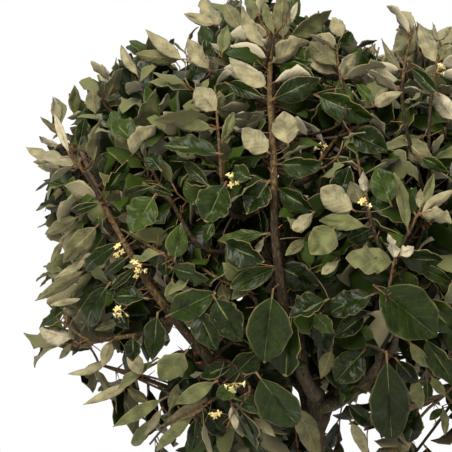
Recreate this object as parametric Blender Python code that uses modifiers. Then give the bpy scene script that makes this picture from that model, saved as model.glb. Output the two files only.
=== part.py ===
"""A standard silverberry: a round evergreen head on a clear stem, in a plain clay pot.

Metres, +Z up. The origin is the centre of the pot's flat underside, and -Y is the plant's front.
Every limb and every mass of foliage is one closed solid. The head is grown by a seeded rule:
boughs fork from the trunk's top, a stem goes on from each bough's tip into its own share of the
head, twigs run from the stem to points spread evenly over the head's outline, and leaves stand
alternately on the twigs.
"""

import math
import random

import bmesh
import bpy
from mathutils import Matrix, Vector
from mathutils.bvhtree import BVHTree

GAP = 0.0003

# Pot and compost.
POT_HEIGHT = 0.280
POT_TOP_RADIUS = 0.160
POT_FOOT_RADIUS = 0.112
POT_WALL = 0.009
POT_FLOOR = 0.012
RIM_HEIGHT = 0.046
RIM_PROUD = 0.007
DRAIN_HOLES = 4
DRAIN_RADIUS = 0.007
DRAIN_CIRCLE = 0.058
COMPOST_BELOW_RIM = 0.018
COMPOST_DISH = 0.006
POT_STEPS = 32

# Trunk.
TRUNK_FOOT_RADIUS = 0.0145
TRUNK_TOP_RADIUS = 0.0100
FLARE_RADIUS = 0.0240
FLARE_HEIGHT = 0.045
TRUNK_SWAY = 0.007
TRUNK_LEAN = -0.006

# Head.
HEAD_CENTRE = Vector((0.0, 0.0, 1.400))
HEAD_RADIUS = 0.335
HEAD_HALF_HEIGHT = 0.300
FORK_BELOW_CENTRE = 0.160
# Where the outline swells or dips: azimuth from +X, elevation, share of the radius.
SWELLS = (
    (195, 26, 0.06),
    (180, -18, 0.05),
    (180, 2, -0.07),
    (220, 72, 0.04),
    (0, 74, -0.13),
    (0, 55, 0.04),
    (90, 50, 0.04),
    (45, -20, 0.05),
    (300, 40, -0.03),
)
SWELL_WIDTH = math.radians(15)

# Each mass of foliage: azimuth and elevation of its middle, azimuth and elevation of its stem's end,
# how far out that end is as a share of the head, and its inner core's radius (none where it is open).
MASSES = {
    "foliage_front_upper": (250, 20, 247, 60, 0.90, 0.070),
    "foliage_left": (206, 10, 196, 26, 0.88, 0.062),
    "foliage_front_right": (293, 0, 291, 14, 0.80, 0.074),
    "foliage_right": (336, 4, 338, 16, 0.80, 0.074),
    "foliage_right_back": (20, 8, 20, 20, 0.80, 0.074),
    "foliage_back_right": (64, 8, 64, 20, 0.80, 0.074),
    "foliage_back": (108, 8, 108, 20, 0.80, 0.074),
    "foliage_back_left": (155, 6, 157, 18, 0.80, 0.070),
    "foliage_left_lower": (188, -32, 186, -24, 0.82, 0.0),
    "foliage_front_lower": (240, -30, 238, -20, 0.80, 0.056),
    "foliage_front_right_lower": (300, -35, 302, -30, 0.80, 0.0),
    "foliage_right_lower": (0, -34, 2, -26, 0.80, 0.046),
    "foliage_back_right_lower": (60, -35, 58, -26, 0.80, 0.046),
    "foliage_back_lower": (120, -34, 118, -26, 0.80, 0.046),
    "foliage_left_upper": (188, 44, 188, 50, 0.82, 0.072),
    "foliage_front_right_upper": (308, 42, 306, 50, 0.82, 0.072),
    "foliage_right_upper": (12, 42, 10, 50, 0.82, 0.072),
    "foliage_back_upper": (72, 42, 72, 52, 0.82, 0.072),
    "foliage_back_left_upper": (130, 44, 130, 52, 0.82, 0.072),
    "foliage_top": (200, 82, 200, 86, 0.82, 0.074),
}
MIDDLE_SHARE = 0.66
CORE_SHARE = 0.52

# Each bough: the limb that it leaves and how far along it, its tip's azimuth, elevation and share of
# the head, its foot radius, how far its elbow runs on with its parent and out towards its tip, and
# the mass that it carries.
BOUGHS = {
    "bough_leader": ("trunk", 1.0, 254, -9, 0.53, 0.0085, 0.14, 0.70, "foliage_front_upper"),
    "bough_right": ("trunk", 0.985, 340, -8, 0.36, 0.0080, 0.06, 0.60, "foliage_right"),
    "bough_left": ("trunk", 0.965, 215, -11, 0.66, 0.0072, 0.12, 0.55, "foliage_left"),
    "bough_back_right": ("trunk", 0.950, 50, -4, 0.36, 0.0070, 0.30, 0.35, "foliage_back_right"),
    "bough_back": ("trunk", 0.935, 112, -4, 0.40, 0.0068, 0.30, 0.35, "foliage_back"),
    "bough_top": ("bough_leader", 0.20, 130, 60, 0.22, 0.0062, 0.45, 0.10, "foliage_top"),
    "bough_front_lower": (
        "bough_leader", 0.50, 238, -30, 0.50, 0.0046, 0.30, 0.40, "foliage_front_lower"
    ),
    "bough_left_lower": (
        "bough_left", 0.34, 190, -28, 0.48, 0.0046, 0.30, 0.40, "foliage_left_lower"
    ),
    "bough_back_left": ("bough_left", 0.18, 160, -2, 0.42, 0.0050, 0.30, 0.30, "foliage_back_left"),
    "bough_front_right": (
        "bough_right", 0.30, 292, -6, 0.42, 0.0054, 0.20, 0.35, "foliage_front_right"
    ),
    "bough_front_right_lower": (
        "bough_right", 0.52, 304, -32, 0.46, 0.0044, 0.20, 0.40, "foliage_front_right_lower"
    ),
    "bough_right_lower": (
        "bough_right", 0.70, 355, -32, 0.52, 0.0044, 0.20, 0.40, "foliage_right_lower"
    ),
    "bough_right_back": (
        "bough_back_right", 0.42, 18, 0, 0.44, 0.0048, 0.25, 0.30, "foliage_right_back"
    ),
    "bough_back_right_lower": (
        "bough_back_right", 0.28, 58, -34, 0.46, 0.0044, 0.20, 0.40, "foliage_back_right_lower"
    ),
    "bough_back_lower": ("bough_back", 0.30, 122, -32, 0.46, 0.0044, 0.20, 0.40, "foliage_back_lower"),
    "bough_back_upper": (
        "bough_back_right", 0.74, 72, 32, 0.38, 0.0044, 0.30, 0.25, "foliage_back_upper"
    ),
    "bough_back_left_upper": (
        "bough_back", 0.70, 134, 34, 0.38, 0.0044, 0.30, 0.25, "foliage_back_left_upper"
    ),
    "bough_left_upper": ("bough_top", 0.40, 190, 36, 0.42, 0.0046, 0.30, 0.25, "foliage_left_upper"),
    "bough_front_right_upper": (
        "bough_top", 0.58, 308, 36, 0.40, 0.0046, 0.30, 0.25, "foliage_front_right_upper"
    ),
    "bough_right_upper": ("bough_top", 0.76, 12, 36, 0.38, 0.0044, 0.30, 0.25, "foliage_right_upper"),
}
BOUGH_TIP_RADIUS = 0.0034
BOUGH_SEGMENTS = 6
BOUGH_SIDES = 6
# Limbs that show through the leaves from the front, with nothing growing before them this near.
BARE_LIMBS = ("bough_left",)
BARE_WINDOW = 0.006
FORK_WINDOW = 0.030

# Twigs and leaves. The leaves are fewer and larger than life, so that they close the head.
TWIG_ENDS = 150
STEM_STRAIGHT = 0.50
STEM_SEGMENTS = 5
TWIG_FEET = (0.10, 0.28, 0.46, 0.64, 0.82)
TWIG_FOOT_RADIUS = 0.0030
TWIG_TIP_RADIUS = 0.0017
TWIG_SHORT_OF_OUTLINE = 0.052
LEAVES_PER_TWIG = 4
LEAF_SPACING = 0.016
LEAF_TRIES = 12
LEAF_LENGTH = 0.078
LEAF_WIDTH = 0.046
LEAF_THICKNESS = 0.0018
LEAF_FOLD = 0.10
LEAF_CURL = 0.10
LEAF_ROOT = 0.0006
GOLDEN_ANGLE = math.pi * (3 - math.sqrt(5))
SEED = 7


def direction(azimuth, elevation):
    """Unit vector from degrees of azimuth (from +X towards +Y) and elevation."""
    a, e = math.radians(azimuth), math.radians(elevation)
    return Vector((math.cos(a) * math.cos(e), math.sin(a) * math.cos(e), math.sin(e)))


def reach(way):
    """How far the head's outline lies from its centre that way: an ellipsoid with a few swells."""
    flat = math.hypot(way.x, way.y) / HEAD_RADIUS
    radius = 1 / math.hypot(flat, way.z / HEAD_HALF_HEIGHT)
    swell = 0.0
    for azimuth, elevation, amount in SWELLS:
        angle = way.angle(direction(azimuth, elevation))
        swell += amount * math.exp(-0.5 * (angle / SWELL_WIDTH) ** 2)
    return radius * (1 + swell)


def outline_point(way, share=1.0):
    return HEAD_CENTRE + way * reach(way) * share


# ---------------------------------------------------------------- scene, collections, materials


def clear_scene():
    for obj in list(bpy.data.objects):
        bpy.data.objects.remove(obj)


def new_collection(name):
    made = bpy.data.collections.new(name)
    bpy.context.scene.collection.children.link(made)
    return made


def linear(hex_colour):
    """An sRGB hex colour as the linear values that a shader takes."""
    parts = (int(hex_colour[i : i + 2], 16) / 255 for i in (1, 3, 5))
    return (*(p / 12.92 if p <= 0.04045 else ((p + 0.055) / 1.055) ** 2.4 for p in parts), 1.0)


def new_material(name, hex_colour, roughness):
    made = bpy.data.materials.new(name)
    made.use_nodes = True
    shader = made.node_tree.nodes["Principled BSDF"]
    shader.inputs["Base Color"].default_value = linear(hex_colour)
    shader.inputs["Roughness"].default_value = roughness
    shader.inputs["Metallic"].default_value = 0.0
    return made


def new_object(name, mesh, collection):
    made = bpy.data.objects.new(name, mesh)
    collection.objects.link(made)
    return made


def mesh_from(build):
    """A mesh from a function that fills a bmesh."""
    bm = bmesh.new()
    build(bm)
    mesh = bpy.data.meshes.new("made")
    bm.to_mesh(mesh)
    bm.free()
    return mesh


# ---------------------------------------------------------------- pot and compost


def turned(name, profile, collection):
    """Spins a profile of (radius, height) points, which runs down its outer side, about Z."""
    mesh = bpy.data.meshes.new(name)
    edges = [(i, i + 1) for i in range(len(profile) - 1)]
    mesh.from_pydata([(radius, 0.0, height) for radius, height in profile], edges, [])
    obj = new_object(name, mesh, collection)
    spin = obj.modifiers.new("spin", "SCREW")
    spin.steps = POT_STEPS
    spin.render_steps = POT_STEPS
    spin.use_merge_vertices = True
    spin.merge_threshold = 0.00001
    spin.use_smooth_shade = True
    return obj


def pot_outer_radius(height):
    """The tapering body's outer radius, without the rim band."""
    top = POT_TOP_RADIUS - RIM_PROUD
    return POT_FOOT_RADIUS + (top - POT_FOOT_RADIUS) * height / POT_HEIGHT


def build_pot(parts, cutters, clay):
    inner_floor = pot_outer_radius(POT_FLOOR) - POT_WALL
    inner_top = pot_outer_radius(POT_HEIGHT) - POT_WALL
    rim_foot = POT_HEIGHT - RIM_HEIGHT
    edge = 0.003
    profile = [
        (0.0, POT_FLOOR),
        (inner_floor, POT_FLOOR),
        (inner_top, POT_HEIGHT - edge),
        (inner_top + edge, POT_HEIGHT),
        (POT_TOP_RADIUS - edge, POT_HEIGHT),
        (POT_TOP_RADIUS, POT_HEIGHT - edge),
        (POT_TOP_RADIUS - 0.002, rim_foot + edge),
        (pot_outer_radius(rim_foot), rim_foot),
        (pot_outer_radius(edge), edge),
        (POT_FOOT_RADIUS - edge, 0.0),
        (0.0, 0.0),
    ]
    pot = turned("pot", profile, parts)
    pot.data.materials.append(clay)
    for i in range(DRAIN_HOLES):
        angle = math.tau * (i + 0.5) / DRAIN_HOLES
        mesh = mesh_from(
            lambda bm: bmesh.ops.create_cone(
                bm, cap_ends=True, segments=12, radius1=DRAIN_RADIUS, radius2=DRAIN_RADIUS, depth=0.06
            )
        )
        hole = new_object(f"drain_cutter_{i}", mesh, cutters)
        hole.location = (DRAIN_CIRCLE * math.cos(angle), DRAIN_CIRCLE * math.sin(angle), 0.0)
        cut = pot.modifiers.new(f"drain_{i}", "BOOLEAN")
        cut.operation = "DIFFERENCE"
        cut.object = hole


def compost_height():
    return POT_HEIGHT - COMPOST_BELOW_RIM


def build_compost(parts, earth):
    top = compost_height()
    edge_height = top - COMPOST_DISH
    foot = POT_FLOOR + GAP
    clearance = POT_WALL + 2 * GAP
    profile = [
        (0.0, top),
        (FLARE_RADIUS * 1.6, top),
        (pot_outer_radius(edge_height) - clearance, edge_height),
        (pot_outer_radius(foot) - clearance, foot),
        (0.0, foot),
    ]
    compost = turned("compost", profile, parts)
    compost.data.materials.append(earth)


# ---------------------------------------------------------------- limbs


class Limb:
    """A tapering limb: points along its middle line, and a radius at each."""

    def __init__(self, points, radii):
        self.points = points
        self.radii = radii

    def at(self, share):
        """Point, direction and radius at a share of its length."""
        lengths = [(b - a).length for a, b in zip(self.points, self.points[1:])]
        left = share * sum(lengths)
        for i, length in enumerate(lengths):
            if left <= length or i == len(lengths) - 1:
                part = min(left / length, 1.0)
                a, b = self.points[i], self.points[i + 1]
                radius = self.radii[i] + (self.radii[i + 1] - self.radii[i]) * part
                return a.lerp(b, part), (b - a).normalized(), radius
            left -= length

    def samples(self, step):
        """(point, radius) every step along it."""
        length = sum((b - a).length for a, b in zip(self.points, self.points[1:]))
        count = max(2, math.ceil(length / step))
        return [self.at(i / count)[::2] for i in range(count + 1)]


def bezier(a, b, c, segments):
    """Points along a quadratic curve from a to c, drawn towards b."""
    shares = [i / segments for i in range(segments + 1)]
    return [a * (1 - t) ** 2 + b * 2 * t * (1 - t) + c * t * t for t in shares]


def trunk_limb():
    """A clear stem with a slight sway and a flare at its foot, cut flat at the compost."""
    foot = compost_height() + GAP
    fork = HEAD_CENTRE.z - FORK_BELOW_CENTRE
    rise = fork - foot
    heights = [0.0, FLARE_HEIGHT * 0.3, FLARE_HEIGHT * 0.65, FLARE_HEIGHT]
    heights += [FLARE_HEIGHT + (rise - FLARE_HEIGHT) * i / 8 for i in range(1, 9)]
    points, radii = [], []
    for height in heights:
        share = height / rise
        sway = TRUNK_SWAY * math.sin(share * math.tau) * share
        settle = max(0.0, share - 0.02)
        points.append(Vector((TRUNK_LEAN * settle + sway, 0.6 * sway, foot + height)))
        plain = TRUNK_FOOT_RADIUS + (TRUNK_TOP_RADIUS - TRUNK_FOOT_RADIUS) * share
        flare = max(0.0, 1 - height / FLARE_HEIGHT) ** 2
        radii.append(plain + (FLARE_RADIUS - TRUNK_FOOT_RADIUS) * flare)
    points[1].xy = points[0].xy
    return Limb(points, radii)


def plan_limbs():
    """Every limb's middle line and radii, each bough drawn on from the limb that it leaves."""
    limbs = {"trunk": trunk_limb()}
    for name, row in BOUGHS.items():
        parent, share, azimuth, elevation, tip_share, foot_radius, on, out, _ = row
        foot, along, _ = limbs[parent].at(share)
        tip = outline_point(direction(azimuth, elevation), tip_share)
        sideways = Vector((tip.x - foot.x, tip.y - foot.y, 0.0))
        bend = foot + along * (tip - foot).length * on + sideways * out
        points = bezier(foot, bend, tip, BOUGH_SEGMENTS)
        taper = [i / BOUGH_SEGMENTS for i in range(BOUGH_SEGMENTS + 1)]
        radii = [foot_radius + (BOUGH_TIP_RADIUS - foot_radius) * t**0.8 for t in taper]
        limbs[name] = Limb(points, radii)
    return limbs


def limb_mesh(limb, sides, extra=0.0):
    """A limb as a closed mesh, from a curve with a radius at each point. Extra fattens it all over."""
    curve = bpy.data.curves.new("limb", "CURVE")
    curve.dimensions = "3D"
    curve.bevel_depth = 1.0
    curve.bevel_resolution = (sides - 4) // 2
    curve.use_fill_caps = True
    spline = curve.splines.new("POLY")
    points = [p.copy() for p in limb.points]
    points[0] += (points[0] - points[1]).normalized() * extra
    points[-1] += (points[-1] - points[-2]).normalized() * extra
    spline.points.add(len(points) - 1)
    for spot, point, radius in zip(spline.points, points, limb.radii):
        spot.co = (*point, 1.0)
        spot.radius = radius + extra
    holder = bpy.data.objects.new("limb", curve)
    bpy.context.scene.collection.objects.link(holder)
    graph = bpy.context.evaluated_depsgraph_get()
    mesh = bpy.data.meshes.new_from_object(holder.evaluated_get(graph))
    bpy.data.objects.remove(holder)
    bm = bmesh.new()
    bm.from_mesh(mesh)
    bmesh.ops.remove_doubles(bm, verts=bm.verts, dist=0.00001)
    bmesh.ops.recalc_face_normals(bm, faces=bm.faces)
    bm.to_mesh(mesh)
    bm.free()
    return mesh


def build_limbs(limbs, parts, cutters, bark):
    """The trunk, and each bough cut off 0.3 mm short of its parent and of its elder brothers."""
    fat = {}
    for name, limb in limbs.items():
        sides = 12 if name == "trunk" else BOUGH_SIDES
        obj = new_object(name, limb_mesh(limb, sides), parts)
        obj.data.materials.append(bark)
        fat[name] = new_object(f"{name}_cutter", limb_mesh(limb, sides, GAP), cutters)
        if name != "trunk":
            parent = BOUGHS[name][0]
            brothers = [b for b in fat if b in BOUGHS and BOUGHS[b][0] == parent and b != name]
            for other in [parent, *brothers]:
                cut = obj.modifiers.new(f"clear_of_{other}", "BOOLEAN")
                cut.operation = "DIFFERENCE"
                cut.object = fat[other]
            settle_mesh(obj)


def settle_mesh(obj):
    """Applies an object's modifiers, and keeps only its largest shell: no scraps, no sealed hollows.
    Where the exact solver leaves nothing, the manifold solver makes the same cut."""
    graph = bpy.context.evaluated_depsgraph_get()
    mesh = bpy.data.meshes.new_from_object(obj.evaluated_get(graph))
    if not mesh.polygons:
        for modifier in obj.modifiers:
            modifier.solver = "MANIFOLD"
        graph.update()
        mesh = bpy.data.meshes.new_from_object(obj.evaluated_get(graph))
    obj.modifiers.clear()
    bm = bmesh.new()
    bm.from_mesh(mesh)
    left = set(bm.verts)
    shells = []
    while left:
        todo = [left.pop()]
        shell = set(todo)
        while todo:
            for edge in todo.pop().link_edges:
                for vert in edge.verts:
                    if vert not in shell:
                        shell.add(vert)
                        todo.append(vert)
        left -= shell
        shells.append(shell)
    shells.sort(key=len)
    scraps = [vert for shell in shells[:-1] for vert in shell]
    bmesh.ops.delete(bm, geom=scraps, context="VERTS")
    bm.to_mesh(mesh)
    bm.free()
    obj.data = mesh


# ---------------------------------------------------------------- where foliage may grow


class Space:
    """The share of the head that belongs to one mass, and the limbs that it keeps clear of."""

    def __init__(self, name, middles, limb_samples):
        self.middle = middles[name]
        self.others = [m for other, m in middles.items() if other != name]
        self.limb_samples = limb_samples
        self.windows = [row for row in limb_samples if row[2]]

    def holds(self, point, margin):
        """True if the point is nearer this mass's middle than any other's, and inside the outline."""
        for other in self.others:
            apart = other - self.middle
            if (point - (other + self.middle) / 2).dot(apart.normalized()) > -margin:
                return False
        out = point - HEAD_CENTRE
        return out.length < 1e-6 or out.length <= reach(out.normalized())

    def free(self, point, margin):
        return self.holds(point, margin) and not self.in_window(point)

    def clear(self, point, margin):
        return all((point - p).length > radius + margin for p, radius, _ in self.limb_samples)

    def in_window(self, point):
        """True if the point lies before a limb that shows, or before the fork."""
        for spot, radius, window in self.windows:
            away = point - spot
            if away.y < 0 and math.hypot(away.x, away.z) < window + radius:
                return True
        return False


class Taken:
    """What already stands in a mass's space, to test whether a new piece would run into it."""

    def __init__(self, epsilon):
        self.epsilon = epsilon
        self.rows = []

    def tree(self, points, faces):
        middle = sum(points, Vector()) / len(points)
        span = max((point - middle).length for point in points)
        return middle, span, BVHTree.FromPolygons(points, faces, epsilon=self.epsilon)

    def mesh_tree(self, mesh):
        points = [vert.co.copy() for vert in mesh.vertices]
        return self.tree(points, [tuple(face.vertices) for face in mesh.polygons])

    def hit(self, new, skip=()):
        middle, span, tree = new
        for i, (other, other_span, other_tree) in enumerate(self.rows):
            if i not in skip and (other - middle).length < span + other_span:
                if tree.overlap(other_tree):
                    return True
        return False

    def add(self, new):
        self.rows.append(new)
        return len(self.rows) - 1


def limb_samples(limbs):
    """(point, radius, window) along every limb, where window is 0 for one that foliage may cover."""
    found = []
    fork = limbs["trunk"].points[-1]
    for name, limb in limbs.items():
        for point, radius in limb.samples(0.006):
            window = BARE_WINDOW if name in BARE_LIMBS else 0.0
            if (point - fork).length < FORK_WINDOW:
                window = FORK_WINDOW
            found.append((point, radius, window))
    return found


# ---------------------------------------------------------------- foliage


def leaf_matrix(root, along, face):
    """Place of a leaf that grows from root along its first axis, with its upper face to its third."""
    side = face.cross(along).normalized()
    up = along.cross(side).normalized()
    return Matrix.Translation(root) @ Matrix((along, side, up)).transposed().to_4x4()


def fill_leaf(bm, length, width):
    """A folded, drooping blade: a flat double cone on four points, with its root at the origin."""
    bmesh.ops.create_uvsphere(bm, u_segments=4, v_segments=2, radius=1.0)
    for vert in bm.verts:
        share = 0.5 + 0.5 * vert.co.x - 0.06 * (1 - abs(vert.co.x))
        lift = LEAF_FOLD * width * abs(vert.co.y)
        droop = LEAF_CURL * length * share**2
        thick = vert.co.z * LEAF_THICKNESS / 2
        vert.co = Vector((length * share, vert.co.y * width / 2, thick + lift - droop))


def blade_points(length, width):
    """The leaf's middle surface from just past its root, to test where it lies."""
    side, lift = 0.44 * length, LEAF_FOLD * width
    droop = LEAF_CURL * length
    return (
        Vector((0.14 * length, 0.0, 0.0)),
        Vector((side, -width / 2, lift - droop * 0.2)),
        Vector((length, 0.0, -droop)),
        Vector((side, width / 2, lift - droop * 0.2)),
        Vector((side, 0.0, -droop * 0.2)),
    )


BLADE_FACES = ((0, 1, 4), (1, 2, 4), (2, 3, 4), (3, 0, 4))


def leaf_direction(twig_way, turn, spread, outward):
    """A leaf's length and face directions. It leaves the twig at spread, its face towards the twig's
    tip, then turns to the light, and hangs a little in the head's lower half."""
    side = twig_way.orthogonal().normalized()
    around = Matrix.Rotation(turn, 3, twig_way) @ side
    along = twig_way * math.cos(spread) + around * math.sin(spread)
    face = twig_way * math.sin(spread) - around * math.cos(spread)
    face = (face + Vector((0, 0, 0.45)) + outward * 0.35).normalized()
    hang = 0.18 + 0.34 * max(0.0, 0.25 - outward.z)
    along = along - Vector((0, 0, hang))
    along = (along - face * along.dot(face)).normalized()
    return along, face


def cone_between(a, b, radius_a, radius_b, sides):
    """A cone's mesh from a to b."""
    length = (b - a).length
    turn = (b - a).to_track_quat("Z", "Y").to_matrix().to_4x4()
    place = Matrix.Translation((a + b) / 2) @ turn
    mesh = mesh_from(
        lambda bm: bmesh.ops.create_cone(
            bm, cap_ends=True, segments=sides, radius1=radius_a, radius2=radius_b, depth=length
        )
    )
    mesh.transform(place)
    return mesh


def plan_twig_ends(middles):
    """Points spread evenly over the head by the golden angle, shared out by the nearest mass."""
    shared = {name: [] for name in middles}
    for i in range(TWIG_ENDS):
        height = 1 - 2 * (i + 0.5) / TWIG_ENDS
        flat = math.sqrt(1 - height * height)
        way = Vector((flat * math.cos(i * GOLDEN_ANGLE), flat * math.sin(i * GOLDEN_ANGLE), height))
        nearest = min(middles, key=lambda name: (outline_point(way, 0.9) - middles[name]).length)
        shared[nearest].append(way)
    return shared


def stem_of(mass, bough):
    """The stem that goes on from a bough's tip, straight at first and then turned to its own end."""
    _, _, azimuth, elevation, share, _ = MASSES[mass]
    tip, along, _ = bough.at(1.0)
    end = outline_point(direction(azimuth, elevation), share) - Vector((0, 0, 0.02))
    start = tip + along * 1.4 * GAP
    bend = start + along * (end - start).length * STEM_STRAIGHT
    points = bezier(start, bend, end, STEM_SEGMENTS)
    fall = BOUGH_TIP_RADIUS - TWIG_TIP_RADIUS
    radii = [BOUGH_TIP_RADIUS - fall * i / STEM_SEGMENTS for i in range(STEM_SEGMENTS + 1)]
    return Limb(points, radii)


def fill_core(bm, centre, radius, space, chance):
    """A lumpy ball, drawn in where it would leave the mass's own space."""
    bmesh.ops.create_icosphere(bm, subdivisions=2, radius=radius)
    for vert in bm.verts:
        size = chance.uniform(0.86, 1.06)
        while size > 0.3 and not space.free(centre + vert.co * size, 0.003):
            size -= 0.02
        vert.co = centre + vert.co * size


def plan_twigs(stem, space, ways, chance):
    """Straight twigs from the stem to just inside the outline, where they keep to the mass's space."""
    found = []
    for way in ways:
        end = HEAD_CENTRE + way * (reach(way) - TWIG_SHORT_OF_OUTLINE - chance.uniform(0.0, 0.022))
        foot = min((stem.at(s)[0] for s in TWIG_FEET), key=lambda p: (p - end).length)
        steps = [foot.lerp(end, s) for s in (0.25, 0.5, 0.75, 1.0)]
        long_enough = (end - foot).length > 0.02
        if long_enough and all(space.holds(p, 0.004) and space.clear(p, 0.006) for p in steps):
            found.append((foot, end, way))
    return found


def leaves_on_twig(twig, own, space, taken, chance):
    """Leaves that stand alternately back from the twig's end. One that would leave the mass's space,
    or run into a limb, a twig or another leaf, is turned and shortened until it fits, or left out."""
    foot, end, way = twig
    twig_way = (end - foot).normalized()
    turn = chance.uniform(0, math.tau)
    found = []
    for i in range(LEAVES_PER_TWIG):
        back = 0.004 + LEAF_SPACING * i
        if back > (end - foot).length - 0.008:
            break
        size = chance.uniform(0.90, 1.14)
        for attempt in range(LEAF_TRIES):
            turn += math.radians(137.5)
            spread = math.radians(chance.uniform(30, 50) + 12 * i)
            length, width = LEAF_LENGTH * size, LEAF_WIDTH * size
            along, face = leaf_direction(twig_way, turn, spread, way)
            root = end - twig_way * back - along * LEAF_ROOT
            matrix = leaf_matrix(root, along, face)
            spots = [matrix @ point for point in blade_points(length, width)]
            row = taken.tree(spots, BLADE_FACES)
            fits = all(space.free(p, 0.0015) for p in spots)
            if fits and not taken.hit(row, skip=(own,)):
                leaf = mesh_from(lambda bm: fill_leaf(bm, length, width))
                leaf.transform(matrix)
                taken.add(row)
                found.append(leaf)
                break
            size *= 0.97
    return found


def grow_mass(name, stem, space, ways, parts, limb_cutters, leaf_green):
    """One mass of foliage as one closed solid: a stem, its core, twigs and leaves, fused."""
    chance = random.Random(f"{SEED} {name}")
    mass = new_object(name, limb_mesh(stem, 6), parts)
    mass.data.materials.append(leaf_green)
    grown = new_collection(f"{name}_parts")
    taken = Taken(0.0008)
    for limb in limb_cutters.objects:
        taken.add(taken.mesh_tree(limb.data))
    azimuth, elevation, _, _, _, core_radius = MASSES[name]
    if core_radius:
        held, _, _ = stem.at(0.12)
        inward = outline_point(direction(azimuth, elevation), CORE_SHARE) - held
        centre = held + inward.normalized() * min(inward.length, 0.6 * core_radius)
        core = mesh_from(lambda bm: fill_core(bm, centre, core_radius, space, chance))
        new_object("core", core, grown)
        taken.add(taken.mesh_tree(core))
    twigs = plan_twigs(stem, space, ways, chance)
    own = {}
    for i, (foot, end, _) in enumerate(twigs):
        mesh = cone_between(foot, end, TWIG_FOOT_RADIUS, TWIG_TIP_RADIUS, 3)
        own[i] = taken.add(taken.mesh_tree(mesh))
        new_object("twig", mesh, grown)
    leaves = 0
    for i, twig in enumerate(twigs):
        for leaf in leaves_on_twig(twig, own[i], space, taken, chance):
            new_object("leaf", leaf, grown)
            leaves += 1
    join = mass.modifiers.new("fuse", "BOOLEAN")
    join.operation = "UNION"
    join.operand_type = "COLLECTION"
    join.collection = grown
    join.solver = "MANIFOLD"
    cut = mass.modifiers.new("clear_of_limbs", "BOOLEAN")
    cut.operation = "DIFFERENCE"
    cut.operand_type = "COLLECTION"
    cut.collection = limb_cutters
    cut.solver = "MANIFOLD"
    settle_mesh(mass)
    for obj in list(grown.objects):
        bpy.data.objects.remove(obj)
    bpy.data.collections.remove(grown)
    return leaves


def build():
    clear_scene()
    parts = new_collection("standard_silverberry")
    cutters = new_collection("cutters")
    limb_cutters = new_collection("limb_cutters")
    clay = new_material("fired_clay", "#B0694A", 0.85)
    earth = new_material("bark_compost", "#2E221B", 0.95)
    bark = new_material("young_bark", "#5E4636", 0.80)
    leaf_green = new_material("leaf_green", "#3C4F35", 0.45)
    build_pot(parts, cutters, clay)
    build_compost(parts, earth)
    limbs = plan_limbs()
    build_limbs(limbs, parts, limb_cutters, bark)
    middles = {
        name: outline_point(direction(azimuth, elevation), MIDDLE_SHARE)
        for name, (azimuth, elevation, *_) in MASSES.items()
    }
    stems = {row[-1]: stem_of(row[-1], limbs[bough]) for bough, row in BOUGHS.items()}
    samples = limb_samples(limbs)
    shared = plan_twig_ends(middles)
    total = 0
    for mass, stem in stems.items():
        others = [
            (point, radius, 0.0)
            for other, other_stem in stems.items()
            if other != mass
            for point, radius in other_stem.samples(0.006)
        ]
        space = Space(mass, middles, samples + others)
        total += grow_mass(mass, stem, space, shared[mass], parts, limb_cutters, leaf_green)
    print("leaves", total)
    for collection in (cutters, limb_cutters):
        collection.hide_render = True
        for cutter in collection.objects:
            cutter.hide_render = True
            cutter.display_type = "WIRE"


build()
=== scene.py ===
import math
import random

import bpy
import numpy as np
from mathutils import Matrix, Vector


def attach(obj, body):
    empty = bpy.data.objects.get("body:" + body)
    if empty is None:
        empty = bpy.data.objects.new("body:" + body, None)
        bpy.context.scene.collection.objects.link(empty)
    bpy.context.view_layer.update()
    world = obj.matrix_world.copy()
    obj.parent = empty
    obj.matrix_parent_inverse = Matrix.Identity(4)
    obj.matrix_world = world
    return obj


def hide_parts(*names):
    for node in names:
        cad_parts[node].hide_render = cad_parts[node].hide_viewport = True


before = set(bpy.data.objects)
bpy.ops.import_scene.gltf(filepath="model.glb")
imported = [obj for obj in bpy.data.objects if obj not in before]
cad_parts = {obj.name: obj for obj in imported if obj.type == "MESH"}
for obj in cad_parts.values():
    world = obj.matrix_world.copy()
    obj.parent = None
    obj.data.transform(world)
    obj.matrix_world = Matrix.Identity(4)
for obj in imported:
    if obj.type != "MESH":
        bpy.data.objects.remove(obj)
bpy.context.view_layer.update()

# ---------------------------------------------------------------- pot
# A pressed terracotta pot, fired and unglazed: a tapering body under a deep rim band, with four
# drain holes in its foot. The walls are 9 mm thick and every edge is a little worn.

POT_HEIGHT = 0.280
POT_TOP_RADIUS = 0.160
POT_FOOT_RADIUS = 0.112
POT_WALL = 0.009
POT_FLOOR = 0.012
POT_SIDES = 128
RIM_HEIGHT = 0.046
RIM_PROUD = 0.007
DRAIN_HOLES = 4
DRAIN_RADIUS = 0.007
DRAIN_CIRCLE = 0.058


def pot_radius(height):
    """Outer radius of the pot's body at a height."""
    top = POT_TOP_RADIUS - RIM_PROUD
    return POT_FOOT_RADIUS + (top - POT_FOOT_RADIUS) * height / POT_HEIGHT


def bezier(a, b, c, segments):
    """Points along a quadratic curve from a to c, drawn towards b."""
    shares = [i / segments for i in range(segments + 1)]
    return [a * (1 - t) ** 2 + b * 2 * t * (1 - t) + c * t * t for t in shares]


rim_foot = POT_HEIGHT - RIM_HEIGHT
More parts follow.
